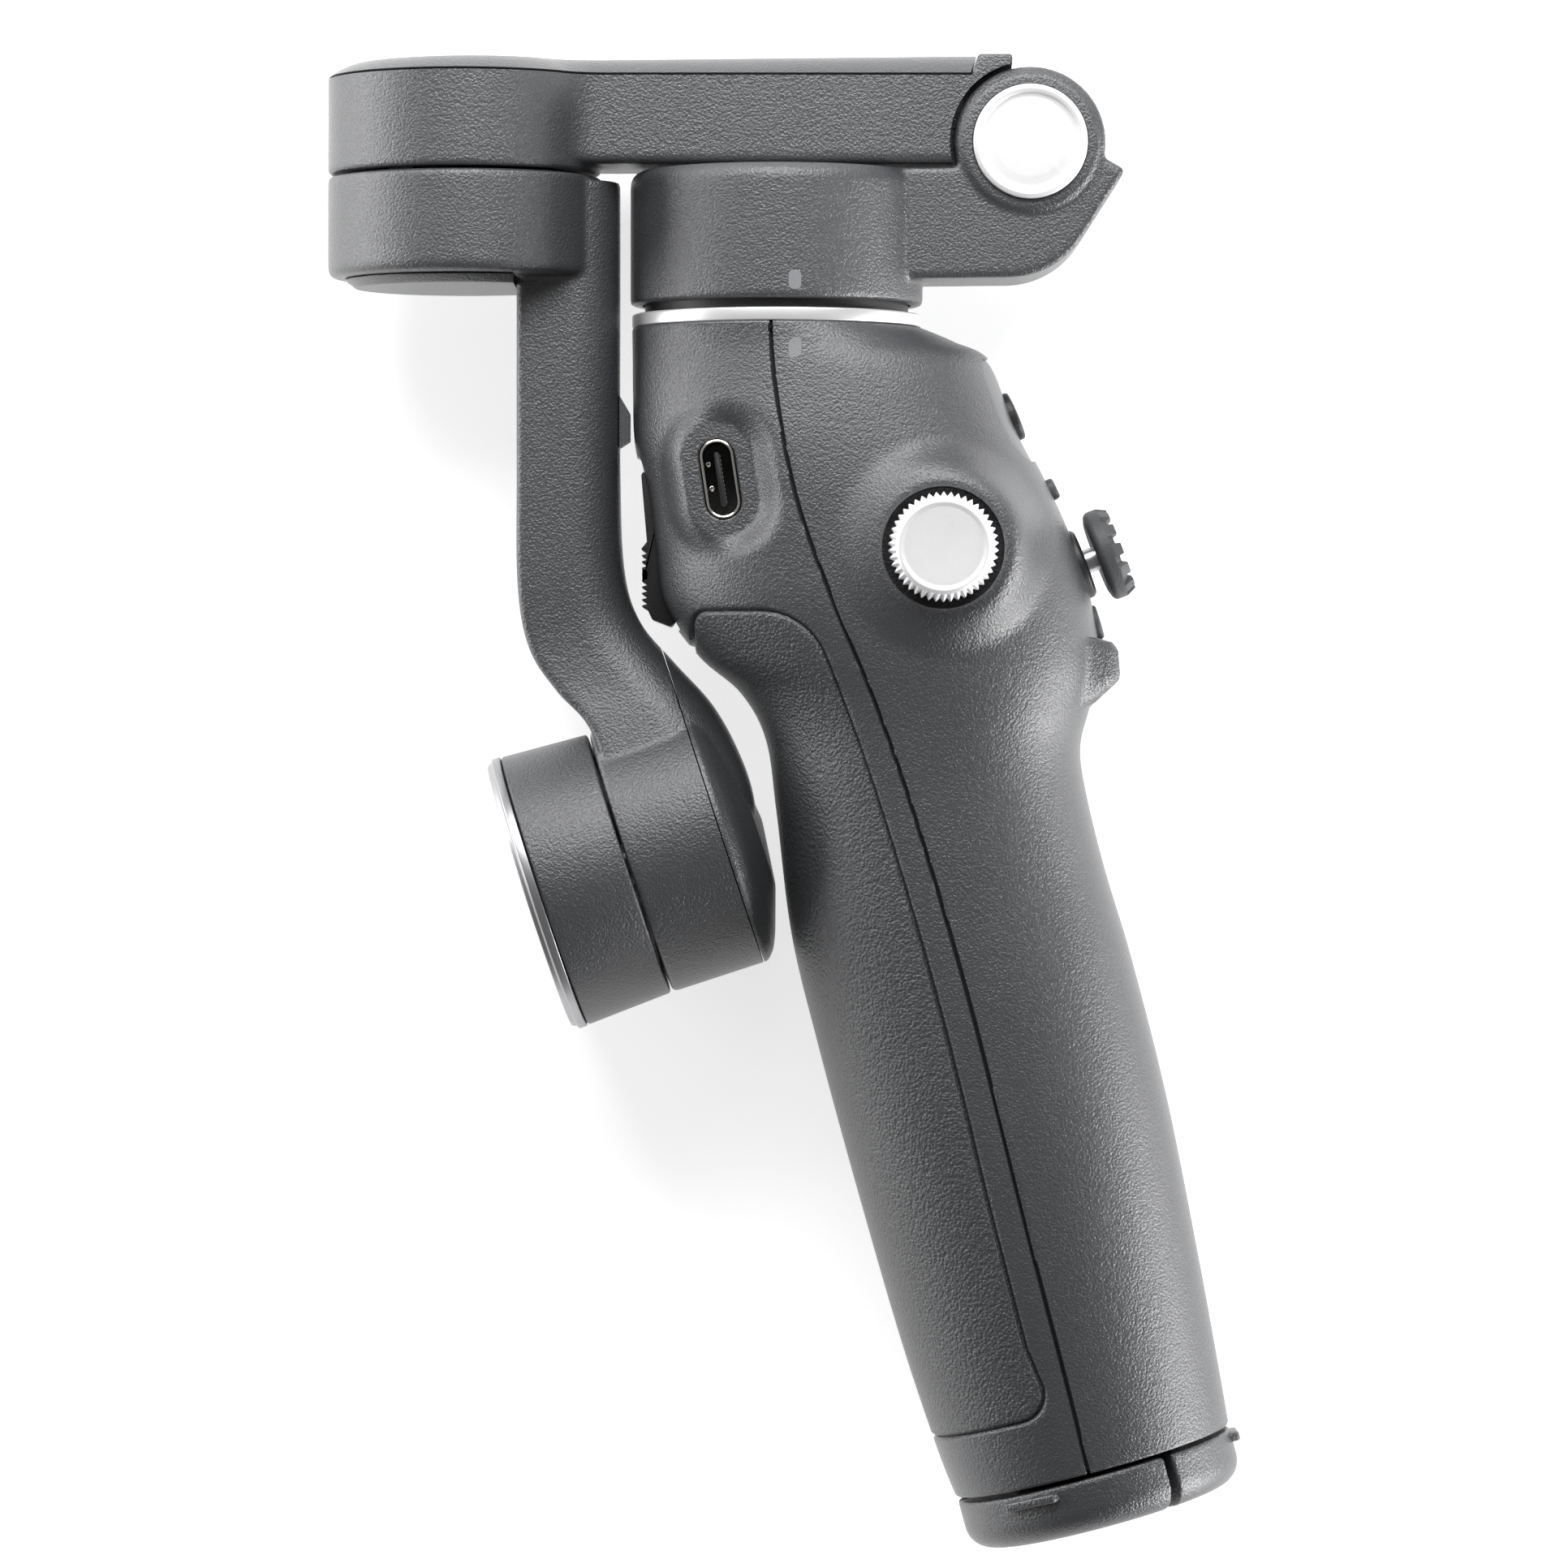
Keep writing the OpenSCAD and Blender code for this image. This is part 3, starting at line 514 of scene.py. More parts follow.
# The line where the front and rear shells meet, from the neck to the base
SEAM_KNOTS = [(-1.7, 62), (-1.2, 50.6), (1.3, 36.5), (5.7, 23.9), (10.9, 11.3), (15.9, -3.1),
              (22, -23.9), (28.5, -49.8), (34.5, -73), (38.5, -90)]
WHEEL_AT = (18.8, 30)
WHEEL_R, WELL_R, WELL_FLOOR, BOSS_TOP = 6.5, 7.2, 17.6, 21.3
USB_AT, USB_TURN, USB_FACE = (-7.6, 38.3), 8.6, 16
USB_WIDTH, USB_LENGTH, USB_CORNER, USB_CLEAR = 4.1, 9.5, 2, 0.12
STICK_AT, STICK_TURN = (35.5, 28.5), 21
MODE_AT, MODE_TURN = (27.7, 46.5), 23
RECORD_AT, RECORD_TURN = (32.1, 37.5), 26
SWITCH_AT, SWITCH_TURN = (37.8, 21.6), 17
PANEL_AT, PANEL_TURN = (27.2, 47.1), 22.7
PAD_TO_SEAM = 3.5
TRIGGER_FLOOR_X = -10.4
MARK_X, MARK_WIDTH, MARK_HEIGHT, MARK_CORNER = 1.3, 1.5, 2.3, 0.6
# Half widths of the seam's and the pad's grooves, at the floor and at the rim
SEAM_FLOOR, SEAM_RIM = 0.09, 0.3
PAD_FLOOR, PAD_RIM = 0.1, 0.45
# The width that an upright wall of a pocket takes in plan
WALL = 0.05
# A field's value where its detail isn't on this side of the handle
FAR = 50.0

seam_line = catmull(SEAM_KNOTS, np.linspace(0, len(SEAM_KNOTS) - 1, 60))


def base_point(across, up):
    """A plan point counted from the middle of the base, across and up the grip."""
    lean = math.radians(GRIP_LEAN)
    return (BASE_AT.x + across * math.cos(lean) - up * math.sin(lean),
            BASE_AT.y + across * math.sin(lean) + up * math.cos(lean))


def pad_outline():
    """The grip pad's border, kept a few millimetres in front of the seam."""
    top, chin, chin_x, outside = 22.6, 17.4, -11, -60
    beside = [p - (PAD_TO_SEAM * 1.07, 0) for p in seam_line]
    upper = next(i for i, p in enumerate(beside) if p[1] < 13)
    foot_height = 7.9
    lower = next(i for i, p in enumerate(beside) if p[1] < base_point(0, foot_height)[1] + 5)
    foot = base_point(-3.2, foot_height)
    corner_x = beside[upper][0] - 4.2
    corners = [(chin_x, chin, 0.8), (chin_x, top, 1.6), (corner_x, top, 9)]
    corners += [(p[0], p[1], 0) for p in beside[upper:lower]]
    corners += [(foot[0], foot[1], 3.4), (*base_point(outside, foot_height), 0), (outside, chin, 0)]
    return rounded(corners, 8)


PAD_LINE = pad_outline()


def seam_field(points):
    return line_distance(points[:, :2], seam_line, closed=False)


def pad_field(points):
    return line_distance(points[:, :2], PAD_LINE, closed=True)


def wheel_field(points):
    distance = np.hypot(points[:, 0] - WHEEL_AT[0], points[:, 1] - WHEEL_AT[1])
    return np.where(points[:, 2] > 0, distance, FAR)


def usb_field(points):
    across, along = local(points, USB_AT, USB_TURN)
    distance = rounded_box(across, along, USB_WIDTH, USB_LENGTH, USB_CORNER)
    return np.where(points[:, 2] > 0, distance, FAR)


def pocket_field(place, turn, length, depth_z, radius):
    """The distance to a rounded pocket let into the side that faces the thumb."""
    def field(points):
        out, along = local(points, place, turn)
        return np.where(out > -9, rounded_box(along, points[:, 2], length, depth_z, radius), FAR)
    return field


def trigger_field(points):
    distance = rounded_box(points[:, 1] - 31, points[:, 2], 20.8, 10.6, 1.2)
    return np.where(points[:, 0] < 0, distance, FAR)


def mark_field(points):
    distance = rounded_box(points[:, 0] - MARK_X, points[:, 1] - 53.8, MARK_WIDTH, MARK_HEIGHT, MARK_CORNER)
    return np.where(points[:, 2] > 0, distance, FAR)


panel_field = pocket_field(PANEL_AT, PANEL_TURN, 13.6, 19, 3.4)
# Field, depth along the outward direction, place and turn of each pocket. A depth of less than
# 1 mm sinks the face as it is, and a greater one gives it a flat floor.
POCKETS = [
    (panel_field, -0.4, PANEL_AT, PANEL_TURN),
    (pocket_field(STICK_AT, STICK_TURN, 9.4, 9.4, 4.69), -7, STICK_AT, STICK_TURN),
    (pocket_field(RECORD_AT, RECORD_TURN, 3.2, 7.4, 1.59), -2.8, RECORD_AT, RECORD_TURN),
    (pocket_field(SWITCH_AT, SWITCH_TURN, 4.8, 7.4, 2.39), -2.8, SWITCH_AT, SWITCH_TURN),
]


def section(row, angles):
    """The points of one rounded section of the handle."""
    lx, ly, rx, ry, half, power = row
    c, s = np.cos(angles), np.sin(angles)
    reach = (np.abs(c) ** power + np.abs(s) ** power) ** (-1 / power)
    share = reach * c
    return np.stack([(lx + rx) / 2 + (rx - lx) / 2 * share,
                     (ly + ry) / 2 + (ry - ly) / 2 * share,
                     half * reach * s], axis=1)


def changed_row(row, inset=0.0, along=0.0):
    """A section moved in by an inset and along its own axis, towards the neck."""
    lx, ly, rx, ry, half, power = row
    span = math.hypot(rx - lx, ry - ly)
    ex, ey = (rx - lx) / span, (ry - ly) / span
    dx, dy = ex * inset - ey * along, ey * inset + ex * along
    return (lx + dx, ly + dy, rx - ex * inset - ey * along, ry - ey * inset + ex * along,
            half - inset, power)


def handle_skin(step=0.62, columns=200):
    """The whole handle as one fine grid, from the neck's face round to inside the base."""
    middles = [((row[0] + row[2]) / 2, (row[1] + row[3]) / 2) for row in HANDLE_ROWS]
    counts = [math.ceil(math.dist(a, b) / step) for a, b in zip(middles, middles[1:])]
    places = [i + k / n for i, n in enumerate(counts) for k in range(n)]
    body = [tuple(r) for r in catmull(HANDLE_ROWS, places)][1:]
    top, end = HANDLE_ROWS[0], HANDLE_ROWS[-1]
    rows = [changed_row(top, 5.3), changed_row(top, 0.3), changed_row(top, 0.1, -0.07),
            changed_row(top, 0, -0.3), *body, changed_row(end, 0, 0.3), changed_row(end, 0.1, 0.08),
            changed_row(end, 0.4), changed_row(end, 5.6), changed_row(end, 5.6, 3)]
    angles = math.tau * (np.arange(columns) + 0.5) / columns
    points = np.concatenate([section(row, angles) for row in rows])
    return mesh_object("handle_skin", points, grid_faces(len(rows), columns))


def cut_skin(bm):
    """Cuts the lines of every detail into the skin."""
    cut(bm, seam_field, [-SEAM_RIM, -SEAM_FLOOR, 0, SEAM_FLOOR, SEAM_RIM])
    cut(bm, pad_field, [-PAD_RIM, -PAD_FLOOR, 0, PAD_FLOOR, PAD_RIM])
    cut(bm, mark_field, [0])
    cut(bm, wheel_field, [WELL_R, WELL_R + WALL, 7.5, 8.5])
    cut(bm, usb_field, [USB_CLEAR, 0.3, 2.1, 2.4])
    cut(bm, trigger_field, [0, WALL, 0.35])
    for field, *_ in POCKETS:
        cut(bm, field, [0, WALL, 0.3])


def groove_depth(seam, pad):
    """How deep the seam's and the pad's grooves are at these distances from their lines."""
    at_seam = np.interp(seam, [0, SEAM_FLOOR, 0.1, SEAM_RIM], [0.8, 0.6, 0.12, 0])
    at_pad = np.interp(pad, [0, PAD_FLOOR, 0.2, PAD_RIM], [0.5, 0.3, 0.14, 0])
    return np.maximum(at_seam, at_pad)


def raise_boss(moved, wheel):
    """Swells the skin into the side wheel's boss and sinks the wheel's well in it."""
    boss = BOSS_TOP - 0.25 * smoothstep((wheel - 7.9) / 0.9) - 0.18 * smoothstep((7.6 - wheel) / 0.4)
    rise = (1 - smoothstep((wheel - 8.3) / 5.2)) ** 1.25
    lifted = moved[:, 2] + np.maximum(boss - moved[:, 2], 0) * rise
    moved[:, 2] = np.where(wheel < FAR, lifted, moved[:, 2])
    moved[:, 2] = np.where(wheel < WELL_R + WALL / 2, WELL_FLOOR, moved[:, 2])


def dish_inlet(moved, usb):
    """Draws the skin down to the charging inlet's rim, with a flat floor and a sloping wall."""
    floor_width, wall_width, rim_drop = 2.1, 2.7, 0.15
    wall = np.clip((usb - floor_width) / wall_width, 0, 1)
    dish = 1 - 0.6 * wall - 0.4 * smoothstep(wall)
    dished = moved[:, 2] + (USB_FACE - moved[:, 2]) * dish
    moved[:, 2] = np.where(usb < FAR, dished, moved[:, 2])
    moved[:, 2] -= rim_drop * np.clip((0.3 - usb) / 0.18, 0, 1)


def raise_thumb_lip(moved, before):
    """Pushes out the lip under the thumb controls, over the middle of the handle's depth."""
    middle = 1 - smoothstep((np.abs(before[:, 2]) - 7) / 2.5)
    lip_x = np.interp(before[:, 1], [11, 11.6, 14.4, 14.9, 18.2, 19.3, 19.9],
                      [0, 37.1, 40.1, 40.35, 40.1, 39.2, 0])
    moved[:, 0] += np.maximum(lip_x - moved[:, 0], 0) * middle * (before[:, 0] > 30)


def press_pocket(moved, value, depth, place, turn):
    """Sinks one pocket along its outward direction, where its field is inside the wall."""
    out, _ = local(moved, place, turn)
    press = depth if depth > -1 else depth - out
    press = np.where(value < WALL / 2, press, 0)
    moved[:, 0] += press * math.cos(math.radians(turn))
    moved[:, 1] += press * math.sin(math.radians(turn))


def press_skin(bm):
    """Presses every detail of the handle into shape between its cut lines."""
    bm.normal_update()
    before = coordinates(bm)
    inward = -np.array([v.normal for v in bm.verts], float)
    slot = trigger_field(before)
    pockets = [field(before) for field, *_ in POCKETS]

    groove = groove_depth(np.abs(seam_field(before)), np.abs(pad_field(before)))
    moved = before + inward * groove[:, None]
    raise_boss(moved, wheel_field(before))
    dish_inlet(moved, usb_field(before))
    raise_thumb_lip(moved, before)
    moved[:, 0] = np.where(slot < WALL / 2, np.maximum(moved[:, 0], TRIGGER_FLOOR_X), moved[:, 0])
    for value, (_, depth, place, turn) in zip(pockets, POCKETS):
        press_pocket(moved, value, depth, place, turn)
    for v, p in zip(bm.verts, moved):
        v.co = p


# Piece, look and CAD node of each part of the skin
SKIN_PIECES = [
    ("front_shell_skin", "shell", "front_shell"),
    ("rear_shell_skin", "shell", "rear_shell"),
    ("grip_pad_skin", "grip", "grip_pad"),
    ("neck_mark", "mark", "handle_mark"),
    ("status_panel_face", "panel", "status_panel"),
]


def skin_owner(centres):
    """Which row of SKIN_PIECES each face belongs to, or -1 over the charging inlet."""
    owner = np.where(seam_field(centres) < 0, 0, 1)
    owner = np.where(pad_field(centres) > 0, 2, owner)
    owner = np.where(mark_field(centres) < 0, 3, owner)
    owner = np.where(panel_field(centres) < 0, 4, owner)
    return np.where(usb_field(centres) < USB_CLEAR, -1, owner)


def split_skin(skin):
    """Shares the handle's skin out between the pieces it is made of."""
    bm = bmesh.new()
    bm.from_mesh(skin.data)
    bpy.data.objects.remove(skin)
    bmesh.ops.recalc_face_normals(bm, faces=bm.faces)
    cut_skin(bm)
    owner = skin_owner(np.array([f.calc_center_median() for f in bm.faces], float))
    layer = bm.faces.layers.int.new("owner")
    for face, who in zip(bm.faces, owner):
        face[layer] = int(who)
    press_skin(bm)
    made = {}
    for k, (name, _, _) in enumerate(SKIN_PIECES):
        part = bm.copy()
        layer = part.faces.layers.int["owner"]
        bmesh.ops.delete(part, geom=[f for f in part.faces if f[layer] != k], context="FACES")
        mesh = bpy.data.meshes.new(name)
        part.to_mesh(mesh)
        part.free()
        made[name] = placed(name, mesh)
    bm.free()
    return made


skins = split_skin(handle_skin())
for name, look, cad_node in SKIN_PIECES:
    finish(skins[name], "handle", look, cad_node)

ring_low, ring_high, ring_bore = NECK_Y, NECK_Y + 1.6, 12.2
ring = rounded([(ring_bore, ring_low, 0), (NECK_R, ring_low, 0.2), (NECK_R, ring_high, 0.25),
                (ring_bore, ring_high, 0)], 4)
finish(lathe("neck_ring_turned", ring, (PAN_X, 0, 0), UP_Y), "handle", "bright_metal", "neck_ring")


# ---- side wheel

def side_wheel():
    teeth, tooth, band, top, low = 46, 0.55, 0.75, 26, 19.6

    def knurl(r, h, angle):
        if r < WHEEL_R - band:
            return r, h
        share = (angle * teeth / math.tau) % 1
        ridge = 1 - abs(2 * share - 1)
        return r - tooth * (1 - ridge) * min(1, (r - WHEEL_R + band) / 0.6), h

    outline = rounded([(0, low, 0), (WHEEL_R - 0.6, low, 0), (WHEEL_R, low + 0.6, 0),
                       (WHEEL_R, top - 1.5, 0), (WHEEL_R - 0.05, top - 1.15, 0),
                       (WHEEL_R - 0.85, top - 0.35, 0.2), (WHEEL_R - 1.25, top, 0.25),
                       (4.7, top - 0.22, 0.6), (0, top - 0.3, 0)], 4)
    place = (*WHEEL_AT, 0)
    return lathe("side_wheel_turned", outline, place, UP_Z, steps=teeth * 8, ripple=knurl)


finish(side_wheel(), "side_wheel", "hinge_metal", "side_wheel", slot="bright_metal", crease=28)


# ---- charging inlet

def usb_outline(grow):
    return pill(USB_WIDTH + 2 * grow, USB_LENGTH + 2 * grow, USB_CORNER + grow, 10)


def ring_stack(name, outlines, place):
    """A skin through outlines of the same count, each with its height, closed on itself."""
    n = len(outlines[0][0])
    points = [place @ Vector((p[0], p[1], h)) for outline, h in outlines for p in outline]
    faces = grid_faces(len(outlines), n)
    last = (len(outlines) - 1) * n
    faces += [(last + c, last + (c + 1) % n, (c + 1) % n, c) for c in range(n)]
    return weld(mesh_object(name, points, faces))


USB_PLACE = Matrix.Translation((*USB_AT, 0)) @ Matrix.Rotation(math.radians(USB_TURN), 4, "Z")
USB_BACK, USB_FLOOR, USB_INSIDE = 9, 9.6, -0.42
usb_rim = ring_stack("usb_shell_pressed", [
    (usb_outline(grow), height) for grow, height in [
        (0, USB_BACK), (0, USB_FACE - 0.2), (-0.06, USB_FACE - 0.02), (-0.2, USB_FACE + 0.06),
        (-0.34, USB_FACE - 0.02), (USB_INSIDE, USB_FACE - 0.25), (USB_INSIDE, USB_FLOOR),
        (USB_INSIDE, USB_BACK)]], USB_PLACE)
finish(usb_rim, "handle", "port_metal", "usb_shell")

tongue = together("usb_tongue_parts", [
    prism("tongue_plate", pill(0.7, 6.6, 0.3, 3), 9.8, 14.8, USB_PLACE, edge=0.12, segments=2),
    prism("tongue_floor", usb_outline(-0.45), USB_BACK, 9.9, USB_PLACE)])
finish(tongue, "handle", "black_plastic", "usb_tongue")
for k, along in enumerate((2.0, -0.9)):
    dimple = rounded([(0.12, 12.6, 0), (0.34, 12.6, 0.05), (0.34, 13.2, 0.08), (0.12, 13.2, 0.05)], 3)
    place = USB_PLACE @ Vector((-1.1, along, 0))
    finish(lathe(f"usb_spring_{k + 1}", dimple, place, UP_Z, steps=32), "handle", "port_metal")
contacts = together("usb_contacts", [
    block("contact", (0.351, along - 0.13, 12.2), (0.42, along + 0.13, 14.4))
    for along in np.linspace(-2.75, 2.75, 12)])
contacts.data.transform(USB_PLACE)
finish(contacts, "handle", "port_metal")


# ---- thumb controls

def thumb_place(place, turn):
    """A matrix whose Z points out at the thumb and whose X runs up the handle."""
    out = heading(turn)
    return basis((*place, 0), out, up=(-out.y, out.x, 0))


def dome(obj, place, top, drop, reach):
    """Lowers a button's face by a drop at the reach from its middle, so that it crowns."""
    back = place.inverted()

    def change(bm):
        for v in bm.verts:
            p = back @ v.co
            if p.z > top - 0.6:
                p.z -= drop * min(1, (p.x * p.x + p.y * p.y) / reach ** 2)
                v.co = place @ p
    modify(obj, "TRIANGULATE")
    modify(obj, "SUBSURF", levels=2, render_levels=2, subdivision_type="SIMPLE")
    return edit(obj, change)


# Body, place, turn, length, width, corner radius, height of the top and look of each button
BUTTONS = [
    ("mode_button", MODE_AT, MODE_TURN, 6, 6, 2.98, 0.6, "black_plastic"),
    ("record_button", RECORD_AT, RECORD_TURN, 2.6, 6.8, 1.28, 0.9, "dark_plastic"),
    ("switch_button", SWITCH_AT, SWITCH_TURN, 4.2, 6.8, 2.08, 0.45, "dark_plastic"),
]
BUTTON_ROOT, BUTTON_CROWN = -2, 0.18

for name, place, turn, length, width, radius, top, look in BUTTONS:
    place = thumb_place(place, turn)
    cap = prism(f"{name}_cap", pill(length, width, radius), BUTTON_ROOT, top, place, edge=0.35, segments=3)
    finish(dome(cap, place, top, BUTTON_CROWN, width / 2), name, look, name)

STICK_OUT = heading(STICK_TURN)
STICK_PLACE = (*STICK_AT, 0)


def joystick_cap():
    notches, stick_r, crown_foot = 12, 5.6, 4.3

    def crown(r, h, angle):
        share = (angle * notches / math.tau) % 1
        tooth = smoothstep((abs(2 * share - 1) - 0.34) / 0.16)
        if h > crown_foot and r > 4.0:
            h -= 0.62 * (1 - tooth) * min(1, (h - crown_foot) / 0.8)
            r -= 0.25 * (1 - tooth)
        return r, h

    outline = rounded([(0, 2.9, 0), (1.6, 2.9, 0), (1.6, 2.6, 0), (4.3, 2.35, 0.5), (stick_r, 2.75, 0.8),
                       (stick_r - 0.02, 4.4, 0.5), (5.0, 5.58, 0.12), (4.35, 5.45, 0.12), (4.1, 5.1, 0.2),
                       (2.8, 4.55, 0.8), (0, 4.3, 0)], 5)
    return lathe("joystick_cap_crowned", outline, STICK_PLACE, STICK_OUT, steps=288, ripple=crown)


finish(joystick_cap(), "joystick", "dark_plastic", "joystick_cap", crease=40)
collar = rounded([(2.6, -2, 0), (4.4, -2, 0), (4.25, 0.6, 0.3), (3.85, 1.0, 0.15), (3.5, 0.8, 0.15)], 4)
finish(lathe("joystick_collar", collar, STICK_PLACE, STICK_OUT), "handle", "black_plastic",
       "joystick_bezel")


def trigger_blade():
    ribs, top_y, bottom_y, half = 10, 30.6, 23.0, 4.4
    step = (top_y - bottom_y) / ribs
    line = [(-13.6, 40.8, 0.3), (-15.4, 40.6, 0.5), (-17.2, 39.4, 0.5), (-16.5, 31.2, 0.2)]
    for k in range(ribs):
        line += [(-17.2, top_y - step * (k + 0.35), 0.06), (-16.4, top_y - step * (k + 1), 0.06)]
    line += [(-15.9, 21.9, 0.3), (-13.6, 21, 0.3), (-12.9, 22, 0), (-12.2, 36, 0)]
    return prism("trigger_blade", rounded(line, 3), -half, half, edge=0.12, segments=2)


finish(trigger_blade(), "trigger", "black_plastic", "trigger", crease=25)


# ---- pan motor and elbow

PAN_R = 17.65
MOTOR_BORE = 14.6
CHEEK_R = 9.1
TONGUE_ROOM_HALF = 4.9
ELBOW_HALF = 9
CAP_SEAT = 8.5
THROUGH = 20


def elbow_outline():
    cheek = arc(FOLD_AT, CHEEK_R, -13, 199, 40)
    corners = [(6, 75.9, 0), (6, 62.6, 0), (32.7, 62.8, 10.5), (41.0, 75.7, 0.5), (38.9, 76.9, 0.3)]
    return rounded(corners + [(p.x, p.y, 0) for p in cheek], 8)


def pan_body():
    """The pan motor's housing and the elbow that grows out of it, moulded in one."""
    low, high = NECK_Y + 2.7, 76
    housing = lathe("housing", drum(PAN_R, low, high, 0.3, 1.7, 8), (PAN_X, 0, 0), UP_Y)
    elbow = prism("elbow", elbow_outline(), -ELBOW_HALF + 0.6, ELBOW_HALF - 0.6, edge=2.3, segments=5)
    cheek = rounded([(0, 0, 0), (CHEEK_R, 0, 0), (CHEEK_R, 7.4, 1.0), (8.1, ELBOW_HALF, 0.4),
                     (7.3, ELBOW_HALF, 0.1), (0, ELBOW_HALF, 0)], 6)
    knuckle = [lathe("knuckle", cheek, FOLD_AT, side * UP_Z) for side in (1, -1)]
    made = moulded("pan_body", [housing, elbow, *knuckle], voxel=0.28, smooth=14)
    room = CHEEK_R + 0.5
    disc_room, disc_r, roof = low + 2, 16.2, high - 2.4
    hollow = [(0, low - 1), (disc_r, low - 1), (disc_r, disc_room), (MOTOR_BORE, disc_room),
              (MOTOR_BORE, roof), (0, roof)]
    cutters = [
        lathe("hollow", hollow, (PAN_X, 0, 0), UP_Y),
        rod("slot", room, -TONGUE_ROOM_HALF, TONGUE_ROOM_HALF, FOLD_AT, UP_Z),
        block("slot_back", (-10, 76.02, -TONGUE_ROOM_HALF), (50, 96, TONGUE_ROOM_HALF)),
        rod("pin_hole", 2.5, -THROUGH, THROUGH, FOLD_AT, UP_Z)]
    cutters += [rod("cap_seat", 7.0, CAP_SEAT, 12, FOLD_AT, side * UP_Z) for side in (1, -1)]
    return carve(made, cutters)


finish(pan_body(), "pan", "shell", "pan_housing", "pan_arm")

cap_dish = rounded([(0, CAP_SEAT, 0), (6.85, CAP_SEAT, 0), (6.85, 9.75, 0.2), (6.35, 10.0, 0.3),
                    (5.95, 9.85, 0.12), (5.8, 9.5, 0.15), (5.3, 9.42, 0.3), (4.2, 9.5, 0.6), (0, 9.62, 0)], 5)
for cad_node, side in (("hinge_cap_near", 1), ("hinge_cap_far", -1)):
    cap = lathe(f"{cad_node}_dish", cap_dish, FOLD_AT, side * UP_Z)
    finish(cap, "pan", "hinge_metal", cad_node)


def curved_mark(name, y):
    """A printed mark that lies on the pan housing's round side."""
    outline = [Vector((0, 0))] + pill(MARK_WIDTH, MARK_HEIGHT, MARK_CORNER, 6)
    reach = PAN_R + 0.02
    points = []
    for p in outline:
        x = MARK_X - PAN_X + p.x
        points.append((PAN_X + x, y + p.y, math.sqrt(reach ** 2 - x * x)))
    n = len(points) - 1
    return mesh_object(name, points, [(0, 1 + k, 1 + (k + 1) % n) for k in range(n)])


finish(curved_mark("pan_mark_print", 61.9), "pan", "mark", "pan_mark")


# ---- roll arm

ROLL_R = 16.5
ARM_HALF = 8.6
ARM_TOP = 87
ARM_FLOOR = 76.4
ARM_FILLET = 6
TONGUE_HALF = 4.5
PIN_ROOM_R = 2.55
XZ_PLAN = Matrix(((1, 0, 0, 0), (0, 0, 1, 0), (0, -1, 0, 0), (0, 0, 0, 1)))


def arm_outline(shrink=0.0, end=27.5):
    """The roll arm seen along Y: the motor's circle blended into the bar."""
    r, half = ROLL_R - shrink, ARM_HALF - shrink
    rise = half + ARM_FILLET
    run = math.sqrt((r + ARM_FILLET) ** 2 - rise ** 2)
    lean = math.degrees(math.atan2(rise, run))
    outline = arc((ROLL_X, 0), r, lean, 360 - lean, 72)
    outline += arc((ROLL_X + run, -rise), ARM_FILLET, 180 - lean, 90, 10)[1:]
    outline += [Vector((end, -half)), Vector((end, half))]
    outline += arc((ROLL_X + run, rise), ARM_FILLET, 270, 180 + lean, 10)[:-1]
    return outline


def knuckle_room():
    """The round space that the elbow's cheeks take out of the roll arm."""
    return [rod("knuckle_room", CHEEK_R + 0.55, TONGUE_HALF, 30, FOLD_AT, side * UP_Z) for side in (1, -1)]


def arm_end(grow=0.0):
    """The solid corner of the roll arm between the lid's slanted end and the hinge."""
    low, high, end = ARM_TOP - 1, ARM_TOP + 2.58 - grow, 27.4 - grow
    corners = [(22 + grow, low, 0), (end, low, 0), (end, high, 0), (23.3 + grow, high, 0)]
    half = ARM_HALF - 0.2 - grow
    return prism("arm_end", rounded(corners), -half, half, edge=0.4 if grow >= 0 else 0)


def roll_arm():
    bar = prism("bar", arm_outline(), ARM_FLOOR, ARM_TOP + 1.5, XZ_PLAN, edge=1.0, segments=4)
    plinth = lathe("plinth", drum(ROLL_R, 75.6, 80, 0.4, 0, 4), (ROLL_X, 0, 0), UP_Y)
    made = moulded("roll_arm_bar", [bar, plinth], voxel=0.28, smooth=6)
    tongue = rod("tongue", 8.2, -TONGUE_HALF, TONGUE_HALF, FOLD_AT, UP_Z)
    cutters = [block("top", (-80, ARM_TOP, -40), (60, ARM_TOP + 9, 40)), *knuckle_room(),
               block("tongue_room", (FOLD_AT.x, 60, -20), (60, 100, 20)),
               rod("hollow", MOTOR_BORE, 70, 84.2, (ROLL_X, 0, 0), UP_Y)]
    carve(made, cutters)
    carve(made, [tongue], "UNION")
    carve(made, [carve(arm_end(), knuckle_room())], "UNION")
    return carve(made, [rod("pin", PIN_ROOM_R, -THROUGH, THROUGH, FOLD_AT, UP_Z)])


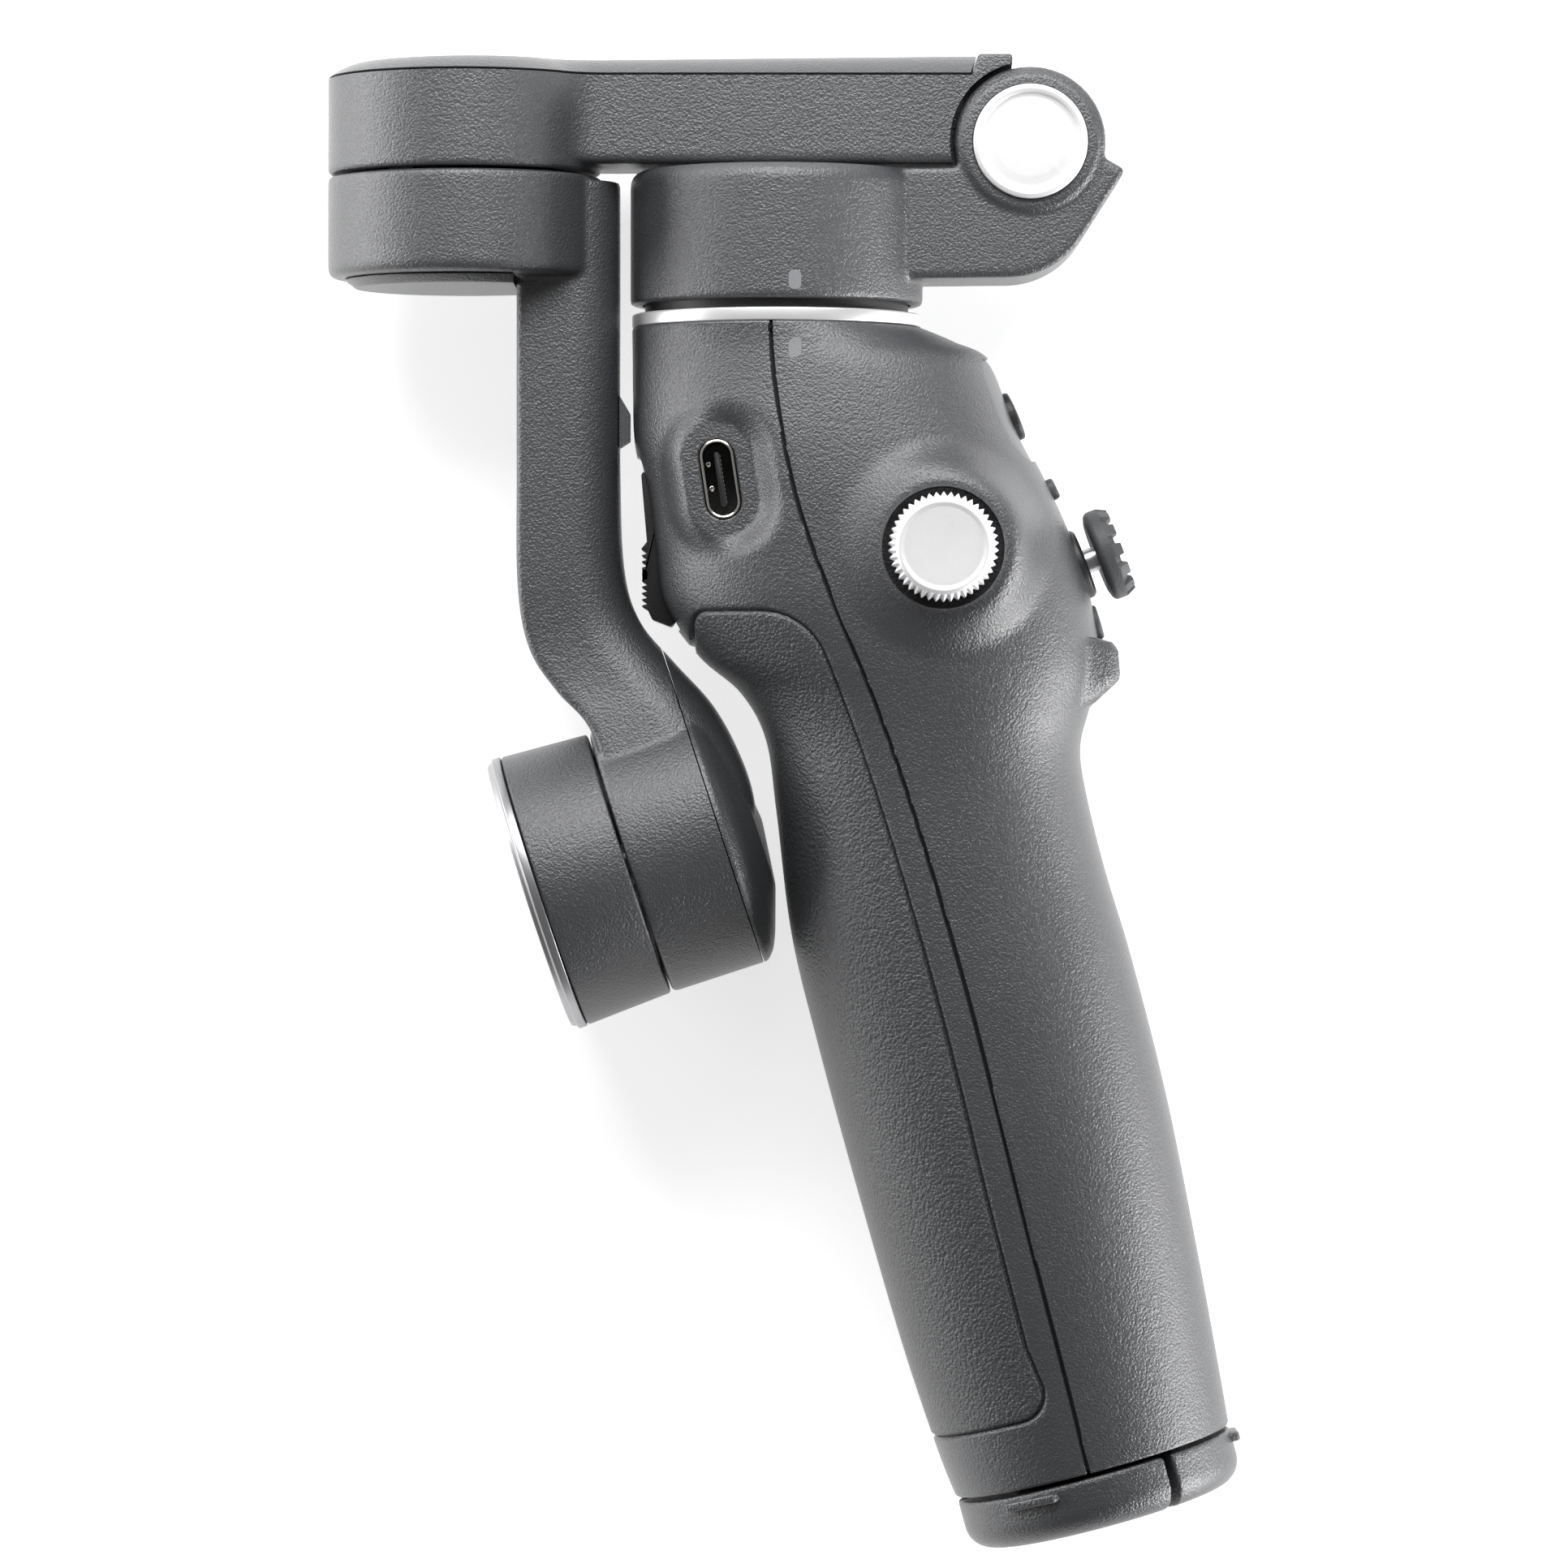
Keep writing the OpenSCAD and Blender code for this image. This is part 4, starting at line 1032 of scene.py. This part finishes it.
def arm_cover():
    """The arm's lid: a low dome over the motor that slopes up to the hinge."""
    edge_rise, slope_width, motor_rise, hinge_rise = 0.3, 3.6, 1.9, 0.68
    made = prism("arm_cover_lid", arm_outline(0.12, 27.35), ARM_TOP + 0.06, ARM_TOP + 4, XZ_PLAN)
    modify(made, "TRIANGULATE")
    made = moulded("arm_cover_lid", [made], voxel=0.3, smooth=0)

    def slope(bm):
        co = coordinates(bm)
        rim = line_distance(co[:, [0, 2]], arm_outline(0.12, 60), closed=True)
        inside = np.clip(rim / slope_width, 0, 1)
        along = np.clip((co[:, 0] - ROLL_X) / (27 - ROLL_X) + 0.1, 0, 1)
        top = motor_rise + hinge_rise * along
        height = edge_rise + (top - edge_rise) * inside * (1.7 - 0.7 * inside)
        for v, most in zip(bm.verts, height):
            v.co.y = min(v.co.y, ARM_TOP + most)
    edit(made, slope)
    modify(made, "SMOOTH", factor=0.5, iterations=4)
    return carve(made, [arm_end(-0.1), *knuckle_room()])


finish(roll_arm(), "roll_arm", "shell", "roll_arm")
finish(arm_cover(), "roll_arm", "cover", "arm_cover")


# ---- tilt arm

TILT_R = 16.4
TILT_BORE = 14.4
CAN_END = 11.6
BODY_VOXEL = 0.28
# Left edge x and y, right edge x and y and half thickness down the tilt arm
TILT_ARM_ROWS = [
    (-32.1, 74.6, -19.8, 74.6, 7.8), (-32.1, 60, -19.8, 60, 7.8), (-32.1, 40, -19.8, 40, 7.8),
    (-32, 26, -19.3, 28, 7.8), (-30.6, 18.3, -17.4, 21.7, 7.8), (-27.3, 13.2, -13.3, 16.8, 8.4),
    (-23.4, 8.9, -8.6, 11.6, 9.6), (-20.9, 2, -5.4, 5.8, 11.2), (-19.8, -4, -3.6, 0.2, 12.4),
    (-18.6, -10, -3.4, -6, 12.6)]


def bar_section(row, steps=14):
    """The bar's section: a crisp flat left side and a right side that rolls away."""
    lx, ly, rx, ry, half = row
    width = math.hypot(rx - lx, ry - ly)
    crisp, roll = 0.8, min(0.52 * width, half - 0.3)
    corners = [(0, -half, crisp), (width, -half, roll), (width, half, roll), (0, half, crisp)]
    flat = rounded(corners, steps)
    ex, ey = (rx - lx) / width, (ry - ly) / width
    return [(lx + ex * p.x, ly + ey * p.x, p.y) for p in flat]


def tilt_bar():
    rows = catmull(TILT_ARM_ROWS, np.linspace(0, len(TILT_ARM_ROWS) - 1, 70))
    sections = [bar_section(row) for row in rows]
    n = len(sections[0])
    points = [p for ring in sections for p in ring]
    faces = grid_faces(len(sections), n)
    faces += [tuple(range(n - 1, -1, -1)), tuple(range(len(points) - n, len(points)))]
    return weld(mesh_object("tilt_bar", points, faces))


def beyond(name, start):
    """The room round the motor past a distance along the tilt axis."""
    side = 32
    square = [(-side, -side), (side, -side), (side, side), (-side, side)]
    return prism(name, square, start, start + side, basis(TILT_AT, TILT_AXIS))


def tilt_body():
    housing = lathe("housing", drum(ROLL_R, 63.05, 75.3, 1.1, 0.4, 6), (ROLL_X, 0, 0), UP_Y)
    can = lathe("can", drum(TILT_R, 0.12, 15, 0.35, 0, 6), TILT_AT, TILT_AXIS)
    return moulded("tilt_arm_body", [housing, can, tilt_bar()], voxel=BODY_VOXEL, smooth=12)


def tilt_arm():
    cutters = [
        beyond("cover_room", CAN_END),
        rod("roll_hollow", MOTOR_BORE, 64.6, 80, (ROLL_X, 0, 0), UP_Y),
        rod("tilt_hollow", TILT_BORE, -1, CAN_END - 1, TILT_AT, TILT_AXIS)]
    return carve(tilt_body(), cutters)


def tilt_cover():
    """The motor's end cover: a shallow dome with a flat break line round it."""
    start = 11.75
    dome_line = rounded([(0, start - 2, 0), (TILT_R, start - 2, 0), (TILT_R, start + 0.5, 0.6),
                         (15.2, 13.3, 0.4), (13.4, 14.1, 1.2), (8, 15.9, 3), (0, 16.8, 0)], 5)
    cap = lathe("cap", dome_line, TILT_AT, TILT_AXIS)
    made = moulded("tilt_cover_dome", [cap, tilt_bar()], voxel=BODY_VOXEL, smooth=8)
    return carve(made, [beyond("front", start)], "INTERSECT")


finish(tilt_arm(), "tilt_arm", "shell", "tilt_arm")
finish(tilt_cover(), "tilt_arm", "cover", "tilt_cover")

cap_line = rounded([(0, 61.9, 0), (13.2, 61.9, 0.4), (14.6, 62.95, 0.1), (0, 62.95, 0)], 4)
roll_lid = lathe("roll_cap_disc", cap_line, (ROLL_X, 0, 0), UP_Y)
carve(roll_lid, [block("notch", (-32.3, 60, -20), (-10, 66, 20))])
finish(roll_lid, "tilt_arm", "cover", "roll_cap")

CLAMP_SIDE, CLAMP_FLOOR, CLAMP_FACE = -0.15, -7.9, -10.9
housing_line = rounded([(0, CLAMP_FACE, 0), (17, CLAMP_FACE, 0.4), (TILT_R, CLAMP_SIDE, 0.35),
                        (TILT_BORE, CLAMP_SIDE, 0), (TILT_BORE, CLAMP_FLOOR, 0), (0, CLAMP_FLOOR, 0)], 5)
ring_line = rounded([(12.6, -11, 0), (17.1, -11, 0.15), (17.1, -12, 0.25), (16.7, -12.2, 0.1),
                     (16.5, -12.75, 0.2), (12.6, -12.8, 0.2)], 4)
pad_line = drum(12.5, -11, -12.4, 0, 0.3, 4)
finish(lathe("clamp_housing_turned", housing_line, TILT_AT, TILT_AXIS), "clamp", "shell", "clamp_housing")
finish(lathe("clamp_ring_turned", ring_line, TILT_AT, TILT_AXIS), "clamp", "ring_metal", "clamp_ring",
       slot="bright_metal")
finish(lathe("clamp_pad_disc", pad_line, TILT_AT, TILT_AXIS), "clamp", "black_plastic", "clamp_pad")


# ---- tripod feet

BASE_R = 17
FOOT_H = 6.9
FOOT_TOP = -0.75
LEGS = 3


def tripod_foot(k):
    """One third of the base's rounded ring, with a finger lip on its rim."""
    slit, reach, hole, top = 1.1, 40, 5.1, FOOT_TOP + 0.25
    half_turn = math.pi / LEGS
    tip = slit / 2 / math.sin(half_turn)
    run, rise = reach * math.cos(half_turn), reach * math.sin(half_turn)
    wedge = [(tip, 0), (tip + run, rise), (reach, rise), (reach, -rise), (tip + run, -rise)]
    toward = Matrix.Rotation(-math.tau * k / LEGS, 4, GRIP_AXIS) @ heading(GRIP_LEAN)
    place = basis(BASE_AT, GRIP_AXIS, up=toward)

    line = rounded([(hole, -FOOT_H, 0.3), (BASE_R, -FOOT_H, 3.0), (BASE_R, top, 0.4), (hole, top, 0)], 8)
    ring = lathe("foot_ring", line, BASE_AT, GRIP_AXIS)
    made = carve(ring, [prism("wedge", wedge, -FOOT_H - 5, 5, place)], "INTERSECT")
    made = moulded(f"tripod_foot_{k + 1}_pad", [made], voxel=0.25, smooth=5)
    inner, outer = BASE_R - 1.5, BASE_R + 0.85
    nail_line = rounded([(inner, -3.8, 0.5), (outer, -3.4, 0.6), (outer, 3.4, 0.6), (inner, 3.8, 0.5)], 5)
    nail = prism("nail", nail_line, -2.2, -1.1, place, edge=0.3, segments=3)
    return together(f"tripod_foot_{k + 1}_pad", [made, nail])


for k in range(LEGS):
    finish(tripod_foot(k), "tripod", "shell", f"tripod_foot_{k + 1}")


# ---- floor, light and camera

def stage_floor():
    half, z = 3.0, -0.0002
    corners = [(-half, -half, z), (half, -half, z), (half, half, z), (-half, half, z)]
    floor = mesh_object("floor", corners, [(0, 1, 2, 3)])
    paper, _, shader = material("floor_paper", (0.93, 0.93, 0.93), 0.9, specular=0.1)
    shader.inputs["Emission Color"].default_value = (1, 1, 1, 1)
    shader.inputs["Emission Strength"].default_value = 0.62
    floor.data.materials.append(paper)


# Name, place, aim and size in metres and watts of each lamp
SOFTBOXES = [
    ("left_box", (-0.55, 0.15, 0.09), (0, 0, 0.02), (0.6, 0.14), 2.6),
    ("right_box", (0.5, -0.22, 0.085), (0, -0.02, 0.02), (0.4, 0.14), 3.8),
    ("top_box", (0.0, 0.28, 0.25), (0, 0.06, 0.02), (0.4, 0.16), 1.75),
]
WORLD_LIGHT = 0.2


def softbox(name, place, aim, size, watts):
    lamp = bpy.data.lights.new(name, "AREA")
    lamp.shape = "RECTANGLE"
    lamp.size, lamp.size_y = size
    lamp.energy = watts
    made = placed(name, lamp)
    made.location = place
    made.rotation_mode = "QUATERNION"
    made.rotation_quaternion = (Vector(aim) - Vector(place)).to_track_quat("-Z", "Y")


def studio():
    world = bpy.data.worlds.new("studio")
    world.use_nodes = True
    background = world.node_tree.nodes["Background"]
    background.inputs["Color"].default_value = (1, 1, 1, 1)
    background.inputs["Strength"].default_value = WORLD_LIGHT
    bpy.context.scene.world = world
    for row in SOFTBOXES:
        softbox(*row)


def camera():
    """Straight over the object, as far away as the photographed depth asks for."""
    lens = bpy.data.cameras.new("camera")
    lens.sensor_width = 36
    lens.lens = 173.2
    made = placed("camera", lens)
    made.location = DRAWING_ORIGIN + MM * Vector((0, 2.06, 912))
    bpy.context.scene.camera = made


bpy.context.scene.view_settings.view_transform = "Standard"
stage_floor()
studio()
camera()
